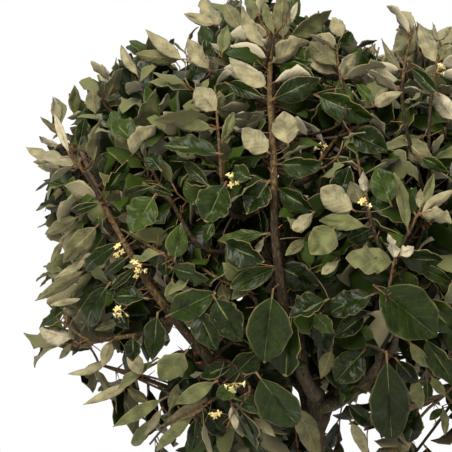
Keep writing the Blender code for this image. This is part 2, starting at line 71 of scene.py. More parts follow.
# The profile's corners from under the foot round to the floor, as (radius, height, wear).
corners = [
    (0.040, 0.0, 0.0),
    (POT_FOOT_RADIUS, 0.0, 0.004),
    (pot_radius(rim_foot), rim_foot, 0.003),
    (POT_TOP_RADIUS - 0.003, rim_foot + 0.001, 0.004),
    (POT_TOP_RADIUS, POT_HEIGHT, 0.0055),
    (pot_radius(POT_HEIGHT) - POT_WALL, POT_HEIGHT, 0.004),
    (pot_radius(POT_FLOOR) - POT_WALL, POT_FLOOR, 0.004),
    (0.040, POT_FLOOR, 0.0),
]
profile = [Vector(corners[0][:2])]
for before, corner, after in zip(corners, corners[1:], corners[2:]):
    wear = corner[2]
    before, corner, after = (Vector(p[:2]) for p in (before, corner, after))
    start = corner + (before - corner).normalized() * wear
    stop = corner + (after - corner).normalized() * wear
    reach_in = profile[-1]
    profile += [reach_in.lerp(start, i / 7) for i in range(1, 7)]
    profile += bezier(start, corner, stop, 4)
profile.append(Vector(corners[-1][:2]))

bpy.ops.object.select_all(action="DESELECT")
bpy.ops.mesh.primitive_circle_add(
    vertices=POT_SIDES, radius=profile[0].x, fill_type="NGON", location=(0, 0, 0)
)
pot = bpy.context.object
pot.name = "terracotta_pot"
bpy.ops.object.mode_set(mode="EDIT")
bpy.ops.mesh.select_all(action="SELECT")
for a, b in zip(profile, profile[1:]):
    bpy.ops.mesh.extrude_region_move(TRANSFORM_OT_translate={"value": (0, 0, b.y - a.y)})
    bpy.ops.transform.resize(value=(b.x / a.x, b.x / a.x, 1), center_override=(0, 0, b.y))
bpy.ops.mesh.select_all(action="SELECT")
bpy.ops.mesh.remove_doubles(threshold=0.00001)
bpy.ops.mesh.normals_make_consistent(inside=False)
bpy.ops.object.mode_set(mode="OBJECT")

for i in range(DRAIN_HOLES):
    angle = math.tau * (i + 0.5) / DRAIN_HOLES
    bpy.ops.mesh.primitive_cone_add(
        vertices=20,
        radius1=DRAIN_RADIUS + 0.001,
        radius2=DRAIN_RADIUS - 0.001,
        depth=0.05,
        location=(DRAIN_CIRCLE * math.cos(angle), DRAIN_CIRCLE * math.sin(angle), 0.006),
    )
    drill = bpy.context.object
    bpy.context.view_layer.objects.active = pot
    hole = pot.modifiers.new("drain", "BOOLEAN")
    hole.operation = "DIFFERENCE"
    hole.object = drill
    bpy.ops.object.modifier_apply(modifier=hole.name)
    bpy.data.objects.remove(drill)


def relief_texture(name, kind, scale):
    """A texture that lifts a skin, with lumps of one size."""
    texture = bpy.data.textures.new(name, kind)
    texture.noise_scale = scale
    return texture


def raise_relief(piece, texture, depth, direction="NORMAL"):
    """Moves a piece's skin in and out by a texture in the piece's own space."""
    relief = piece.modifiers.new(texture.name, "DISPLACE")
    relief.texture = texture
    relief.texture_coords = "LOCAL"
    relief.direction = direction
    relief.strength = depth
    bpy.context.view_layer.objects.active = piece
    bpy.ops.object.modifier_apply(modifier=relief.name)


# The press leaves the wall a millimetre out of true here and there, but the foot is flat.
raise_relief(pot, relief_texture("pot_warp", "CLOUDS", 0.11), 0.0012)
for corner in pot.data.vertices:
    corner.co.z = max(corner.co.z, 0.0)
bpy.ops.object.select_all(action="DESELECT")
pot.select_set(True)
bpy.ops.object.shade_smooth_by_angle(angle=math.radians(40))


def linear(hex_colour):
    """An sRGB hex colour as linear red, green, blue and alpha."""
    parts = (int(hex_colour[i : i + 2], 16) / 255 for i in (1, 3, 5))
    return (*(p / 12.92 if p <= 0.04045 else ((p + 0.055) / 1.055) ** 2.4 for p in parts), 1.0)


def surface(name, hex_colour, **numbers):
    """A material with one colour and the shader's plain numbers; patterns are added to its tree."""
    made = bpy.data.materials.new(name)
    made.use_nodes = True
    shader = made.node_tree.nodes["Principled BSDF"]
    shader.inputs["Base Color"].default_value = linear(hex_colour)
    for socket, value in numbers.items():
        shader.inputs[socket.replace("_", " ")].default_value = value
    return made, made.node_tree, shader


def add_node(tree, kind, output, numbered=(), stops=(), **named):
    """Adds a node and gives back one of its outputs. Inputs are values or links, by number or by a
    name with a capital; small names are settings, and a ramp has (place, hex) stops."""
    node = tree.nodes.new("ShaderNode" + kind)
    inputs = dict(numbered)
    for name, value in named.items():
        if name[0].isupper():
            inputs[name.replace("_", " ")] = value
        else:
            setattr(node, name, value)
    for name, value in inputs.items():
        if isinstance(value, bpy.types.NodeSocket):
            tree.links.new(value, node.inputs[name])
        else:
            node.inputs[name].default_value = value
    for i, (place, hex_colour) in enumerate(stops):
        bands = node.color_ramp.elements
        band = bands[i] if i < 2 else bands.new(place)
        band.position = place
        band.color = linear(hex_colour)
    return node.outputs[output]


def hand_over(piece, nodes=(), material=None):
    """Gives a piece its material, sets it on the root body and hides the CAD nodes that it stands for.
    """
    if material:
        piece.data.materials.clear()
        piece.data.materials.append(material)
    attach(piece, "root")
    if nodes:
        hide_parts(*nodes)


# Terracotta, pressed and fired: a dusty orange-brown, darker where it is damp near the foot, with
# a pale lime bloom that water leaves in drifts, and sandy pits under a millimetre across.
clay, tree, shader = surface("terracotta_pressed_and_fired", "#B4694A", Roughness=0.86, IOR=1.5)
place = add_node(tree, "TexCoord", "Object")
drift = add_node(tree, "TexNoise", "Fac", Vector=place, Scale=14.0, Detail=6.0, Roughness=0.62)
fired = ((0.30, "#9C5638"), (0.48, "#B4694A"), (0.66, "#C07A59"))
colour = add_node(tree, "ValToRGB", "Color", Fac=drift, stops=fired)
low = add_node(tree, "SeparateXYZ", "Z", Vector=place)
damp = add_node(
    tree, "MapRange", "Result", Value=low, From_Max=0.11, To_Min=0.45, To_Max=0.0,
    interpolation_type="SMOOTHSTEP",
)
lime = add_node(tree, "TexNoise", "Fac", Vector=place, Scale=26.0, Detail=8.0, Roughness=0.7)
bloom = add_node(tree, "MapRange", "Result", Value=lime, From_Min=0.52, From_Max=0.74, To_Max=0.55)
for share, blend, tone in ((damp, "MULTIPLY", "#9A7A6A"), (bloom, "MIX", "#D9C4B2")):
    layer = {0: share, 6: colour, 7: linear(tone)}
    colour = add_node(tree, "Mix", 2, layer, data_type="RGBA", blend_type=blend)
tree.links.new(colour, shader.inputs["Base Color"])
pits = add_node(tree, "TexNoise", "Fac", Vector=place, Scale=900.0, Detail=3.0, Roughness=0.6)
dimples = add_node(tree, "Bump", "Normal", Height=pits, Strength=0.35, Distance=0.0006)
tree.links.new(dimples, shader.inputs["Normal"])
hand_over(pot, ["pot"], clay)

# ---------------------------------------------------------------- compost
# Moist bark compost fills the pot to 18 mm under its rim, a little heaped round the stem. Chips of
# composted bark lie loose on top.

COMPOST_TOP = POT_HEIGHT - 0.018
COMPOST_DISH = 0.006
COMPOST_RINGS = 26
COMPOST_SIDES = 112
CHIPS = 620
CHIP_LENGTH = 0.002
CHIP_LONGER = 0.009
STEM_ROOM = 0.03

edge_radius = pot_radius(COMPOST_TOP - COMPOST_DISH) - POT_WALL - 0.0008
bpy.ops.object.select_all(action="DESELECT")
bpy.ops.mesh.primitive_circle_add(
    vertices=COMPOST_SIDES,
    radius=edge_radius,
    fill_type="NGON",
    location=(0, 0, COMPOST_TOP - COMPOST_DISH),
)
compost = bpy.context.object
compost.name = "bark_compost"
bpy.ops.object.mode_set(mode="EDIT")
bpy.ops.mesh.select_all(action="SELECT")
bpy.ops.mesh.extrude_region_move(TRANSFORM_OT_translate={"value": (0, 0, 0.010)})
bpy.ops.mesh.select_all(action="SELECT")
bpy.ops.transform.translate(value=(0, 0, -0.010))
bpy.ops.mesh.normals_make_consistent(inside=False)
bpy.ops.mesh.select_all(action="DESELECT")
bpy.ops.object.mode_set(mode="OBJECT")
for face in compost.data.polygons:
    face.select = face.normal.z > 0.9
for edge in compost.data.edges:
    edge.select = False
bpy.ops.object.mode_set(mode="EDIT")
bpy.ops.mesh.select_mode(type="FACE")
for ring in range(COMPOST_RINGS):
    bpy.ops.mesh.inset(thickness=edge_radius / (COMPOST_RINGS + 1.2), depth=0.0)
bpy.ops.object.mode_set(mode="OBJECT")
bpy.ops.object.transform_apply(location=True, rotation=True, scale=True)
for vert in compost.data.vertices:
    out = math.hypot(vert.co.x, vert.co.y) / edge_radius
    if vert.co.z > COMPOST_TOP - COMPOST_DISH - 0.005:
        vert.co.z += COMPOST_DISH * (1 - out**2)
raise_relief(compost, relief_texture("compost_crumbs", "CLOUDS", 0.010), 0.006, "Z")

# Each chip is a flattened, chipped block, and hundreds lie at all angles.
chance = random.Random(3)
bpy.ops.mesh.primitive_ico_sphere_add(subdivisions=1, radius=1.0, location=(0, 0, 0))
chip = bpy.context.object
chip_shape = [vert.co.copy() for vert in chip.data.vertices]
chip_sides = [tuple(face.vertices) for face in chip.data.polygons]
bpy.data.objects.remove(chip)
chip_verts, chip_faces = [], []
while len(chip_verts) < CHIPS * len(chip_shape):
    out = edge_radius * 0.97 * math.sqrt(chance.random())
    angle = chance.uniform(0, math.tau)
    length = CHIP_LENGTH + CHIP_LONGER * chance.random() ** 2
    size = Vector((length, length * chance.uniform(0.35, 0.8), length * chance.uniform(0.15, 0.4)))
    turn = Matrix.Rotation(chance.uniform(0, math.tau), 3, "Z")
    turn = turn @ Matrix.Rotation(chance.gauss(0, 0.35), 3, "X")
    top = COMPOST_TOP - COMPOST_DISH * (out / edge_radius) ** 2 + chance.uniform(-0.001, 0.0012)
    if out < STEM_ROOM or out + length > edge_radius:
        continue
    start = len(chip_verts)
    middle = Vector((out * math.cos(angle), out * math.sin(angle), top))
    for point in chip_shape:
        chipped = Vector([chance.uniform(0.75, 1.2) * c * s for c, s in zip(point, size)])
        chip_verts.append(turn @ chipped + middle)
    chip_faces += [tuple(start + i for i in side) for side in chip_sides]
chips_mesh = bpy.data.meshes.new("bark_chips")
chips_mesh.from_pydata(chip_verts, [], chip_faces)
chips = bpy.data.objects.new("bark_chips", chips_mesh)
bpy.context.scene.collection.objects.link(chips)

# Composted bark, milled and moist: near-black brown, redder on freshly broken chips.
moist, tree, shader = surface("moist_bark_compost", "#2E221B", Roughness=0.92, IOR=1.4)
place = add_node(tree, "TexCoord", "Object")
grains = add_node(tree, "TexNoise", "Fac", Vector=place, Scale=240.0, Detail=6.0)
crumbly = ((0.32, "#17110D"), (0.52, "#2E221B"), (0.72, "#4A3526"))
colour = add_node(tree, "ValToRGB", "Color", Fac=grains, stops=crumbly)
tree.links.new(colour, shader.inputs["Base Color"])
rough = add_node(tree, "Bump", "Normal", Height=grains, Strength=0.8, Distance=0.002)
tree.links.new(rough, shader.inputs["Normal"])
chip_bark, tree, shader = surface("broken_bark_chips", "#4B3325", Roughness=0.85, IOR=1.4)
place = add_node(tree, "TexCoord", "Object")
shades = add_node(tree, "TexVoronoi", "Distance", Vector=place, Scale=90.0)
broken = ((0.0, "#2A1C14"), (0.45, "#4B3325"), (0.9, "#7A5438"))
colour = add_node(tree, "ValToRGB", "Color", Fac=shades, stops=broken)
tree.links.new(colour, shader.inputs["Base Color"])
hand_over(compost, ["compost"], moist)
hand_over(chips, ["compost"], chip_bark)

# ---------------------------------------------------------------- trunk and boughs
# One clear stem of young wood, grafted and grown straight, and twenty boughs that fork from its top
# and from each other. The bark is thin and brown, with low ridges, scars and pale lenticels.

GAP = 0.0003
HEAD_CENTRE = Vector((0.0, 0.0, 1.400))
HEAD_RADIUS = 0.335
HEAD_HALF_HEIGHT = 0.300
FORK_BELOW_CENTRE = 0.160
TRUNK_FOOT_RADIUS = 0.0145
TRUNK_TOP_RADIUS = 0.0100
FLARE_RADIUS = 0.0240
FLARE_HEIGHT = 0.045
TRUNK_SWAY = 0.007
TRUNK_LEAN = -0.006
# Swells and hollows of the head: azimuth, elevation and how far they stand out, as a share.
SWELLS = (
    (195, 26, 0.06), (180, -18, 0.05), (180, 2, -0.07), (220, 72, 0.04), (0, 74, -0.13),
    (0, 55, 0.04), (90, 50, 0.04), (45, -20, 0.05), (300, 40, -0.03),
)
SWELL_WIDTH = math.radians(15)
# Each bough: what it forks from and where along it, its tip's azimuth, elevation and share of the
# way out, the radius at its foot, and how far its curve keeps on along the parent and bows out.
BOUGHS = {
    "leader": ("trunk", 1.0, 254, -9, 0.53, 0.0085, 0.14, 0.70),
    "right": ("trunk", 0.985, 340, -8, 0.36, 0.0080, 0.06, 0.60),
    "left": ("trunk", 0.965, 215, -11, 0.66, 0.0072, 0.12, 0.55),
    "back_right": ("trunk", 0.950, 50, -4, 0.36, 0.0070, 0.30, 0.35),
    "back": ("trunk", 0.935, 112, -4, 0.40, 0.0068, 0.30, 0.35),
    "top": ("leader", 0.20, 130, 60, 0.22, 0.0062, 0.45, 0.10),
    "front_lower": ("leader", 0.50, 238, -30, 0.50, 0.0046, 0.30, 0.40),
    "left_lower": ("left", 0.34, 190, -28, 0.48, 0.0046, 0.30, 0.40),
    "back_left": ("left", 0.18, 160, -2, 0.42, 0.0050, 0.30, 0.30),
    "front_right": ("right", 0.30, 292, -6, 0.42, 0.0054, 0.20, 0.35),
    "front_right_lower": ("right", 0.52, 304, -32, 0.46, 0.0044, 0.20, 0.40),
    "right_lower": ("right", 0.70, 355, -32, 0.52, 0.0044, 0.20, 0.40),
    "right_back": ("back_right", 0.42, 18, 0, 0.44, 0.0048, 0.25, 0.30),
    "back_right_lower": ("back_right", 0.28, 58, -34, 0.46, 0.0044, 0.20, 0.40),
    "back_lower": ("back", 0.30, 122, -32, 0.46, 0.0044, 0.20, 0.40),
    "back_upper": ("back_right", 0.74, 72, 32, 0.38, 0.0044, 0.30, 0.25),
    "back_left_upper": ("back", 0.70, 134, 34, 0.38, 0.0044, 0.30, 0.25),
    "left_upper": ("top", 0.40, 190, 36, 0.42, 0.0046, 0.30, 0.25),
    "front_right_upper": ("top", 0.58, 308, 36, 0.40, 0.0046, 0.30, 0.25),
    "right_upper": ("top", 0.76, 12, 36, 0.38, 0.0044, 0.30, 0.25),
}
BOUGH_TIP_RADIUS = 0.0034
STOUT_TIP_RADIUS = {"leader": 0.0046, "left": 0.0044}
BOUGH_SEGMENTS = 6
# The displaced bark bulges outwards, so a bough is drawn this much thinner.
BARK_ROOM = 0.985


def direction(azimuth, elevation):
    """Unit vector from degrees of azimuth (from +X towards +Y) and elevation."""
    a, e = math.radians(azimuth), math.radians(elevation)
    return Vector((math.cos(a) * math.cos(e), math.sin(a) * math.cos(e), math.sin(e)))


def reach(way):
    """How far the head's outline lies from its centre that way: an ellipsoid with a few swells."""
    flat = math.hypot(way.x, way.y) / HEAD_RADIUS
    radius = 1 / math.hypot(flat, way.z / HEAD_HALF_HEIGHT)
    swell = 0.0
    for azimuth, elevation, amount in SWELLS:
        angle = way.angle(direction(azimuth, elevation))
        swell += amount * math.exp(-0.5 * (angle / SWELL_WIDTH) ** 2)
    return radius * (1 + swell)


def outline_point(way, share=1.0):
    return HEAD_CENTRE + way * reach(way) * share


class Limb:
    """A tapering limb: points along its middle line, and a radius at each."""

    def __init__(self, points, radii):
        self.points = points
        self.radii = radii

    def at(self, share):
        """Point, direction and radius at a share of its length."""
        lengths = [(b - a).length for a, b in zip(self.points, self.points[1:])]
        left = share * sum(lengths)
        for i, length in enumerate(lengths):
            if left <= length or i == len(lengths) - 1:
                part = min(left / length, 1.0)
                a, b = self.points[i], self.points[i + 1]
                radius = self.radii[i] + (self.radii[i + 1] - self.radii[i]) * part
                return a.lerp(b, part), (b - a).normalized(), radius
            left -= length

    def length(self):
        return sum((b - a).length for a, b in zip(self.points, self.points[1:]))

    def samples(self, step):
        """(point, radius) every step along it."""
        count = max(2, math.ceil(self.length() / step))
        return [self.at(i / count)[::2] for i in range(count + 1)]


def trunk_limb():
    """The clear stem, flared at its foot, with a slight sway."""
    foot = COMPOST_TOP + GAP
    rise = HEAD_CENTRE.z - FORK_BELOW_CENTRE - foot
    heights = [0.0, FLARE_HEIGHT * 0.3, FLARE_HEIGHT * 0.65, FLARE_HEIGHT]
    heights += [FLARE_HEIGHT + (rise - FLARE_HEIGHT) * i / 8 for i in range(1, 9)]
    points, radii = [], []
    for height in heights:
        share = height / rise
        sway = TRUNK_SWAY * math.sin(share * math.tau) * share
        settle = max(0.0, share - 0.02)
        points.append(Vector((TRUNK_LEAN * settle + sway, 0.6 * sway, foot + height)))
        plain = TRUNK_FOOT_RADIUS + (TRUNK_TOP_RADIUS - TRUNK_FOOT_RADIUS) * share
        flare = max(0.0, 1 - height / FLARE_HEIGHT) ** 2
        radii.append(plain + (FLARE_RADIUS - TRUNK_FOOT_RADIUS) * flare)
    points[1].xy = points[0].xy
    return Limb(points, radii)


limbs = {"trunk": trunk_limb()}
for name, row in BOUGHS.items():
    parent, share, azimuth, elevation, tip_share, foot_radius, on, out = row
    foot, along, _ = limbs[parent].at(share)
    tip = outline_point(direction(azimuth, elevation), tip_share)
    sideways = Vector((tip.x - foot.x, tip.y - foot.y, 0.0))
    bend = foot + along * (tip - foot).length * on + sideways * out
    taper = [i / BOUGH_SEGMENTS for i in range(BOUGH_SEGMENTS + 1)]
    tip_radius = STOUT_TIP_RADIUS.get(name, BOUGH_TIP_RADIUS)
    radii = [foot_radius + (tip_radius - foot_radius) * t**0.8 for t in taper]
    limbs[name] = Limb(bezier(foot, bend, tip, BOUGH_SEGMENTS), radii)

ridges = relief_texture("bark_ridges", "CLOUDS", 0.012)
scales = relief_texture("bark_scales", "STUCCI", 0.0035)


def bark_tube(name, limb, step, roundness, collar, room, chance):
    """A limb with knuckles where twigs were shed, a swollen collar at its foot, and rough bark."""
    count = math.ceil(limb.length() / step)
    rings = [limb.at(i / count) for i in range(count + 1)]
    curve = bpy.data.curves.new(name, "CURVE")
    curve.dimensions = "3D"
    curve.bevel_depth = 1.0
    curve.bevel_resolution = roundness
    curve.use_fill_caps = True
    spline = curve.splines.new("POLY")
    spline.points.add(len(rings) - 1)
    knuckle = chance.uniform(0.01, 0.03)
    knuckles = []
    while knuckle < limb.length():
        knuckles.append(knuckle)
        knuckle += chance.uniform(0.022, 0.06)
    for i, (spot, (point, _, radius)) in enumerate(zip(spline.points, rings)):
        far = i / count * limb.length()
        near = min((abs(far - s) for s in knuckles), default=1.0)
        swell = 1 + 0.13 * math.exp(-((near / 0.004) ** 2)) + collar * math.exp(-far / 0.008)
        spot.co = (*point, 1.0)
        spot.radius = radius * swell * room
    made = bpy.data.objects.new(name, curve)
    bpy.context.scene.collection.objects.link(made)
    bpy.ops.object.select_all(action="DESELECT")
    bpy.context.view_layer.objects.active = made
    made.select_set(True)
    bpy.ops.object.convert(target="MESH")
    bpy.ops.object.mode_set(mode="EDIT")
    bpy.ops.mesh.select_all(action="SELECT")
    bpy.ops.mesh.remove_doubles(threshold=0.00001)
    bpy.ops.mesh.normals_make_consistent(inside=False)
    bpy.ops.object.mode_set(mode="OBJECT")
    for texture, depth in ((ridges, 0.10), (scales, 0.05)):
        raise_relief(made, texture, depth * (limb.radii[0] + limb.radii[-1]))
    bpy.ops.object.shade_smooth()
    return made


chance = random.Random(11)
trunk = bark_tube("trunk_bark", limbs["trunk"], 0.0035, 10, 0.0, 1.0, chance)
bark_boughs = [
    bark_tube(f"bough_{name}_bark", limbs[name], 0.004, 5, 0.22, BARK_ROOM, chance)
    for name in BOUGHS
]
bpy.ops.object.select_all(action="DESELECT")
for bough in bark_boughs:
    bough.select_set(True)
boughs = bark_boughs[0]
bpy.context.view_layer.objects.active = boughs
bpy.ops.object.join()
boughs.name = "boughs_bark"

# Young silverberry bark, weathered: grey-brown with darker furrows 2 to 3 mm apart, rusty where the
# outer skin has flaked, and freckled with pale lenticels about a millimetre across. From the fork up
# it carries painted light: its colour grows lighter with height, up to twice as light.
bark, tree, shader = surface("young_bark_weathered_painted_light", "#5E4636", Roughness=0.82, IOR=1.45)
place = add_node(tree, "TexCoord", "Object")
stretch = add_node(tree, "Mapping", "Vector", Vector=place, Scale=(1.0, 1.0, 0.30))
furrows = add_node(
    tree, "TexNoise", "Fac", Vector=stretch, Scale=330.0, Detail=6.0, Roughness=0.65, Distortion=0.4
)
furrowed = ((0.34, "#1B160D"), (0.50, "#382E1E"), (0.68, "#5C4E3A"))
colour = add_node(tree, "ValToRGB", "Color", Fac=furrows, stops=furrowed)
flakes = add_node(tree, "TexNoise", "Fac", Vector=place, Scale=45.0, Detail=4.0)
rust = add_node(tree, "MapRange", "Result", Value=flakes, From_Min=0.50, From_Max=0.68, To_Max=0.6)
pores = add_node(tree, "TexVoronoi", "Distance", Vector=place, Scale=170.0)
freckles = add_node(
    tree, "MapRange", "Result", Value=pores, From_Min=0.10, From_Max=0.18, To_Min=0.7, To_Max=0.0
)
for share, tone in ((rust, "#553D28"), (freckles, "#7F705A")):
    colour = add_node(tree, "Mix", 2, {0: share, 6: colour, 7: linear(tone)}, data_type="RGBA")
# Painted light: from the fork up, the bark's colour is added to itself, up to twice as light higher up.
rise = add_node(tree, "SeparateXYZ", "Z", Vector=place)
painted_light_share = add_node(tree, "MapRange", "Result", Value=rise, From_Min=1.22, From_Max=1.62, To_Max=1.4)
doubled = {0: 1.0, 6: colour, 7: colour}
painted_light_doubled = add_node(tree, "Mix", 2, doubled, data_type="RGBA", blend_type="ADD")
colour = add_node(tree, "Mix", 2, {0: painted_light_share, 6: colour, 7: painted_light_doubled}, data_type="RGBA")
tree.links.new(colour, shader.inputs["Base Color"])
cracks = add_node(tree, "Bump", "Normal", Height=furrows, Strength=0.9, Distance=0.0012)
tree.links.new(cracks, shader.inputs["Normal"])
hand_over(trunk, ["trunk"], bark)
hand_over(boughs, [f"bough_{name}" for name in BOUGHS], bark)

# ---------------------------------------------------------------- twigs
# Each mass of the head is one stem that goes on from its bough's tip, with side shoots that curve up
# to the light and hard spurs: this year's and last year's wood, thin and rusty brown. Most shoots
# follow one seeded rule, and those that show at the front are placed.

# Each mass: its middle's azimuth and elevation, and its stem's end by azimuth, elevation and share.
MASSES = {
    "front_upper": (250, 20, 247, 60, 0.90),
    "left": (206, 10, 196, 26, 0.88),
    "front_right": (293, 0, 291, 14, 0.80),
    "right": (336, 4, 338, 16, 0.80),
    "right_back": (20, 8, 20, 20, 0.80),
    "back_right": (64, 8, 64, 20, 0.80),
    "back": (108, 8, 108, 20, 0.80),
    "back_left": (155, 6, 157, 18, 0.80),
    "left_lower": (188, -32, 186, -24, 0.82),
    "front_lower": (240, -30, 238, -20, 0.80),
    "front_right_lower": (300, -35, 302, -30, 0.80),
    "right_lower": (0, -34, 2, -26, 0.80),
    "back_right_lower": (60, -35, 58, -26, 0.80),
    "back_lower": (120, -34, 118, -26, 0.80),
    "left_upper": (188, 44, 188, 50, 0.82),
    "front_right_upper": (308, 42, 306, 50, 0.82),
    "right_upper": (12, 42, 10, 50, 0.82),
    "back_upper": (72, 42, 72, 52, 0.82),
    "back_left_upper": (130, 44, 130, 52, 0.82),
    "top": (200, 82, 200, 86, 0.82),
}
MIDDLE_SHARE = 0.66
STEM_STRAIGHT = 0.50
STEM_TIP_RADIUS = 0.0017
STOUT_STEM_TIP_RADIUS = {"front_upper": 0.0024, "left": 0.0024}
STEM_LEAVES = 15
SHOOT_FOOT_RADIUS = 0.0017
SHOOT_TIP_RADIUS = 0.0009
SHOWN_SHOOT_LEAVES = 14
LEAD_BOW = 0.4
SPUR_LENGTHS = (0.006, 0.016)
SPUR_RADII = (0.0008, 0.0005, 0.0003)
# Layers of shoots from the outside in: how many, how deep, their turn and the leaves on each.
LAYERS = ((580, 0.0, 0.0, 12), (210, 0.085, 1.3, 6), (105, 0.150, 2.1, 5))
# Where shoots fork from a stem, as shares of it, and how far inside the outline they end.
FORKS = (0.08, 0.2, 0.32, 0.44, 0.56, 0.68, 0.8, 0.92)
SHOOT_INSET = 0.040
SHOOT_UNEVEN = (-0.006, 0.020)
SHORTEST_SHOOT = 0.025
# The inner layers stop this far below the head's middle, where the head is open to the fork.
INNER_FLOOR = 0.11
SHOOT_BOW = 0.42
SHOOT_SEGMENTS = 7
# The share of the shoots that the shade has killed, at the bottom and at the lower left.
LOST_BELOW = 0.20
LOST_LEFT = 0.80
SHOOT_ROOM = 0.004
GOLDEN_ANGLE = math.pi * (3 - math.sqrt(5))
LEAF_TURN = math.radians(137.5)


def array_of(points):
    return np.array([tuple(p) for p in points])


def stem_of(mass, bough):
    """The stem that goes on from a bough's tip, straight at first and then turned to its own end."""
    _, _, azimuth, elevation, share = MASSES[mass]
    tip, along, radius = bough.at(1.0)
    end = outline_point(direction(azimuth, elevation), share) - Vector((0, 0, 0.02))
    start = tip - along * 0.004
    bend = start + along * (end - start).length * STEM_STRAIGHT
    thin = STOUT_STEM_TIP_RADIUS.get(mass, STEM_TIP_RADIUS)
    return Limb(bezier(start, bend, end, 12), [radius + (thin - radius) * i / 12 for i in range(13)])


# Every mass is named like its bough, apart from the one that the leader carries.
stems = {}
for name in BOUGHS:
    mass = "front_upper" if name == "leader" else name
    stems[mass] = stem_of(mass, limbs[name])
middles = {
    name: outline_point(direction(azimuth, elevation), MIDDLE_SHARE)
    for name, (azimuth, elevation, *_) in MASSES.items()
}


def nearest_mass(point):
    return min(middles, key=lambda name: (point - middles[name]).length)


# The front view is a frame of 452 by 452 pixels, level with the head, 2 m before its middle.
VIEW_FROM = Vector((-0.1056, -2.0, 1.4264))
FRAME_MIDDLE = 226
PIXEL = 0.0011


def front_point(across, down, y):
    """The point at a pixel of the front view and a depth."""
    spread = PIXEL * (1 - y / VIEW_FROM.y)
    sideways = (across - FRAME_MIDDLE) * spread
    return Vector((VIEW_FROM.x + sideways, y, VIEW_FROM.z + (FRAME_MIDDLE - down) * spread))


def on_front(across, down, share):
    """The point at a pixel of the front view that lies at a share of the head's outline."""
    best, least = None, 1.0
    for i in range(90):
        point = front_point(across, down, -0.38 + 0.005 * i)
        out = point - HEAD_CENTRE
        over = out.length - reach(out.normalized()) * share
        if over < least:
            best, least = point, over
        if over <= 0:
            break
    return best


def front_place(points):
    """Pixels across and down the front view, and depth, of points."""
    points = np.asarray(points)
    spread = PIXEL * (1 - points[:, 1] / VIEW_FROM.y)
    across = FRAME_MIDDLE + (points[:, 0] - VIEW_FROM.x) / spread
    down = FRAME_MIDDLE - (points[:, 2] - VIEW_FROM.z) / spread
    return np.stack([across, down, points[:, 1]], axis=1)


# Shoots that show at the front: mass, radius at the foot and tip in mm, the share of the outline
# where they lie, and their route as pixels of the front view. The first two are the leads.
SHOWN_SHOOTS = (
    (
        "front_upper", 4.9, 2.1, 0.93,
        (
            (283, 298), (279, 270), (275, 235), (274, 200), (274, 166), (272, 130), (270, 100),
            (270, 68), (272, 42),
        ),
    ),
    (
        "left", 5.4, 2.4, 0.89,
        ((205, 354), (187, 334), (170, 313), (153, 290), (137, 265), (118, 231), (100, 198)),
    ),
    ("left", 2.6, 1.3, 0.86, ((190, 236), (176, 210), (163, 190), (150, 167), (136, 152))),
    ("front_upper", 2.0, 1.1, 0.93, ((224, 196), (221, 170), (218, 130), (215, 86))),
    ("front_upper", 1.9, 1.4, 0.90, ((246, 292), (236, 287), (224, 281), (212, 275), (202, 268))),
    ("front_upper", 1.8, 1.0, 0.92, ((186, 266), (173, 260), (156, 250), (140, 240), (121, 229))),
    ("left_lower", 2.8, 1.4, 0.90, ((168, 322), (144, 333), (115, 338), (89, 343), (64, 343))),
    ("left_lower", 1.7, 1.1, 0.93, ((100, 341), (86, 339), (70, 328), (56, 318))),
    ("front_lower", 2.0, 1.1, 0.90, ((226, 392), (209, 402), (187, 414), (166, 426), (150, 444))),
    ("left_lower", 1.6, 1.0, 0.86, ((178, 352), (160, 361), (141, 372), (112, 392))),
    ("front_right", 2.3, 1.1, 0.95, ((386, 262), (372, 226), (366, 195), (360, 172), (357, 154))),
    ("front_right", 1.9, 1.1, 0.96, ((400, 250), (409, 232), (417, 216), (424, 203))),
    ("front_right_upper", 1.8, 1.1, 0.95, ((402, 92), (403, 78), (406, 58), (413, 31))),
    ("front_right_upper", 1.7, 1.0, 0.94, ((431, 100), (433, 84), (437, 62), (440, 42))),
    ("front_right", 1.8, 1.1, 0.97, ((386, 300), (389, 288), (393, 266), (397, 253))),
    ("front_right_lower", 1.5, 0.9, 0.86, ((396, 470), (399, 452), (403, 419), (410, 400))),
    ("front_upper", 2.6, 1.6, 0.76, ((314, 172), (320, 161), (333, 143), (348, 126))),
    ("front_lower", 1.6, 1.0, 0.93, ((240, 372), (250, 390), (238, 408), (222, 424))),
    ("front_upper", 1.6, 0.9, 0.98, ((272, 42), (269, 32), (262, 24), (258, 14))),
    ("front_right_upper", 1.4, 0.8, 0.95, ((346, 102), (341, 80), (338, 62), (337, 45))),
    ("left", 2.4, 1.0, 0.90, ((100, 198), (88, 178), (76, 160), (66, 140), (58, 122))),
    ("front_upper", 1.6, 0.9, 0.98, ((272, 42), (277, 32), (284, 24), (287, 14))),
)
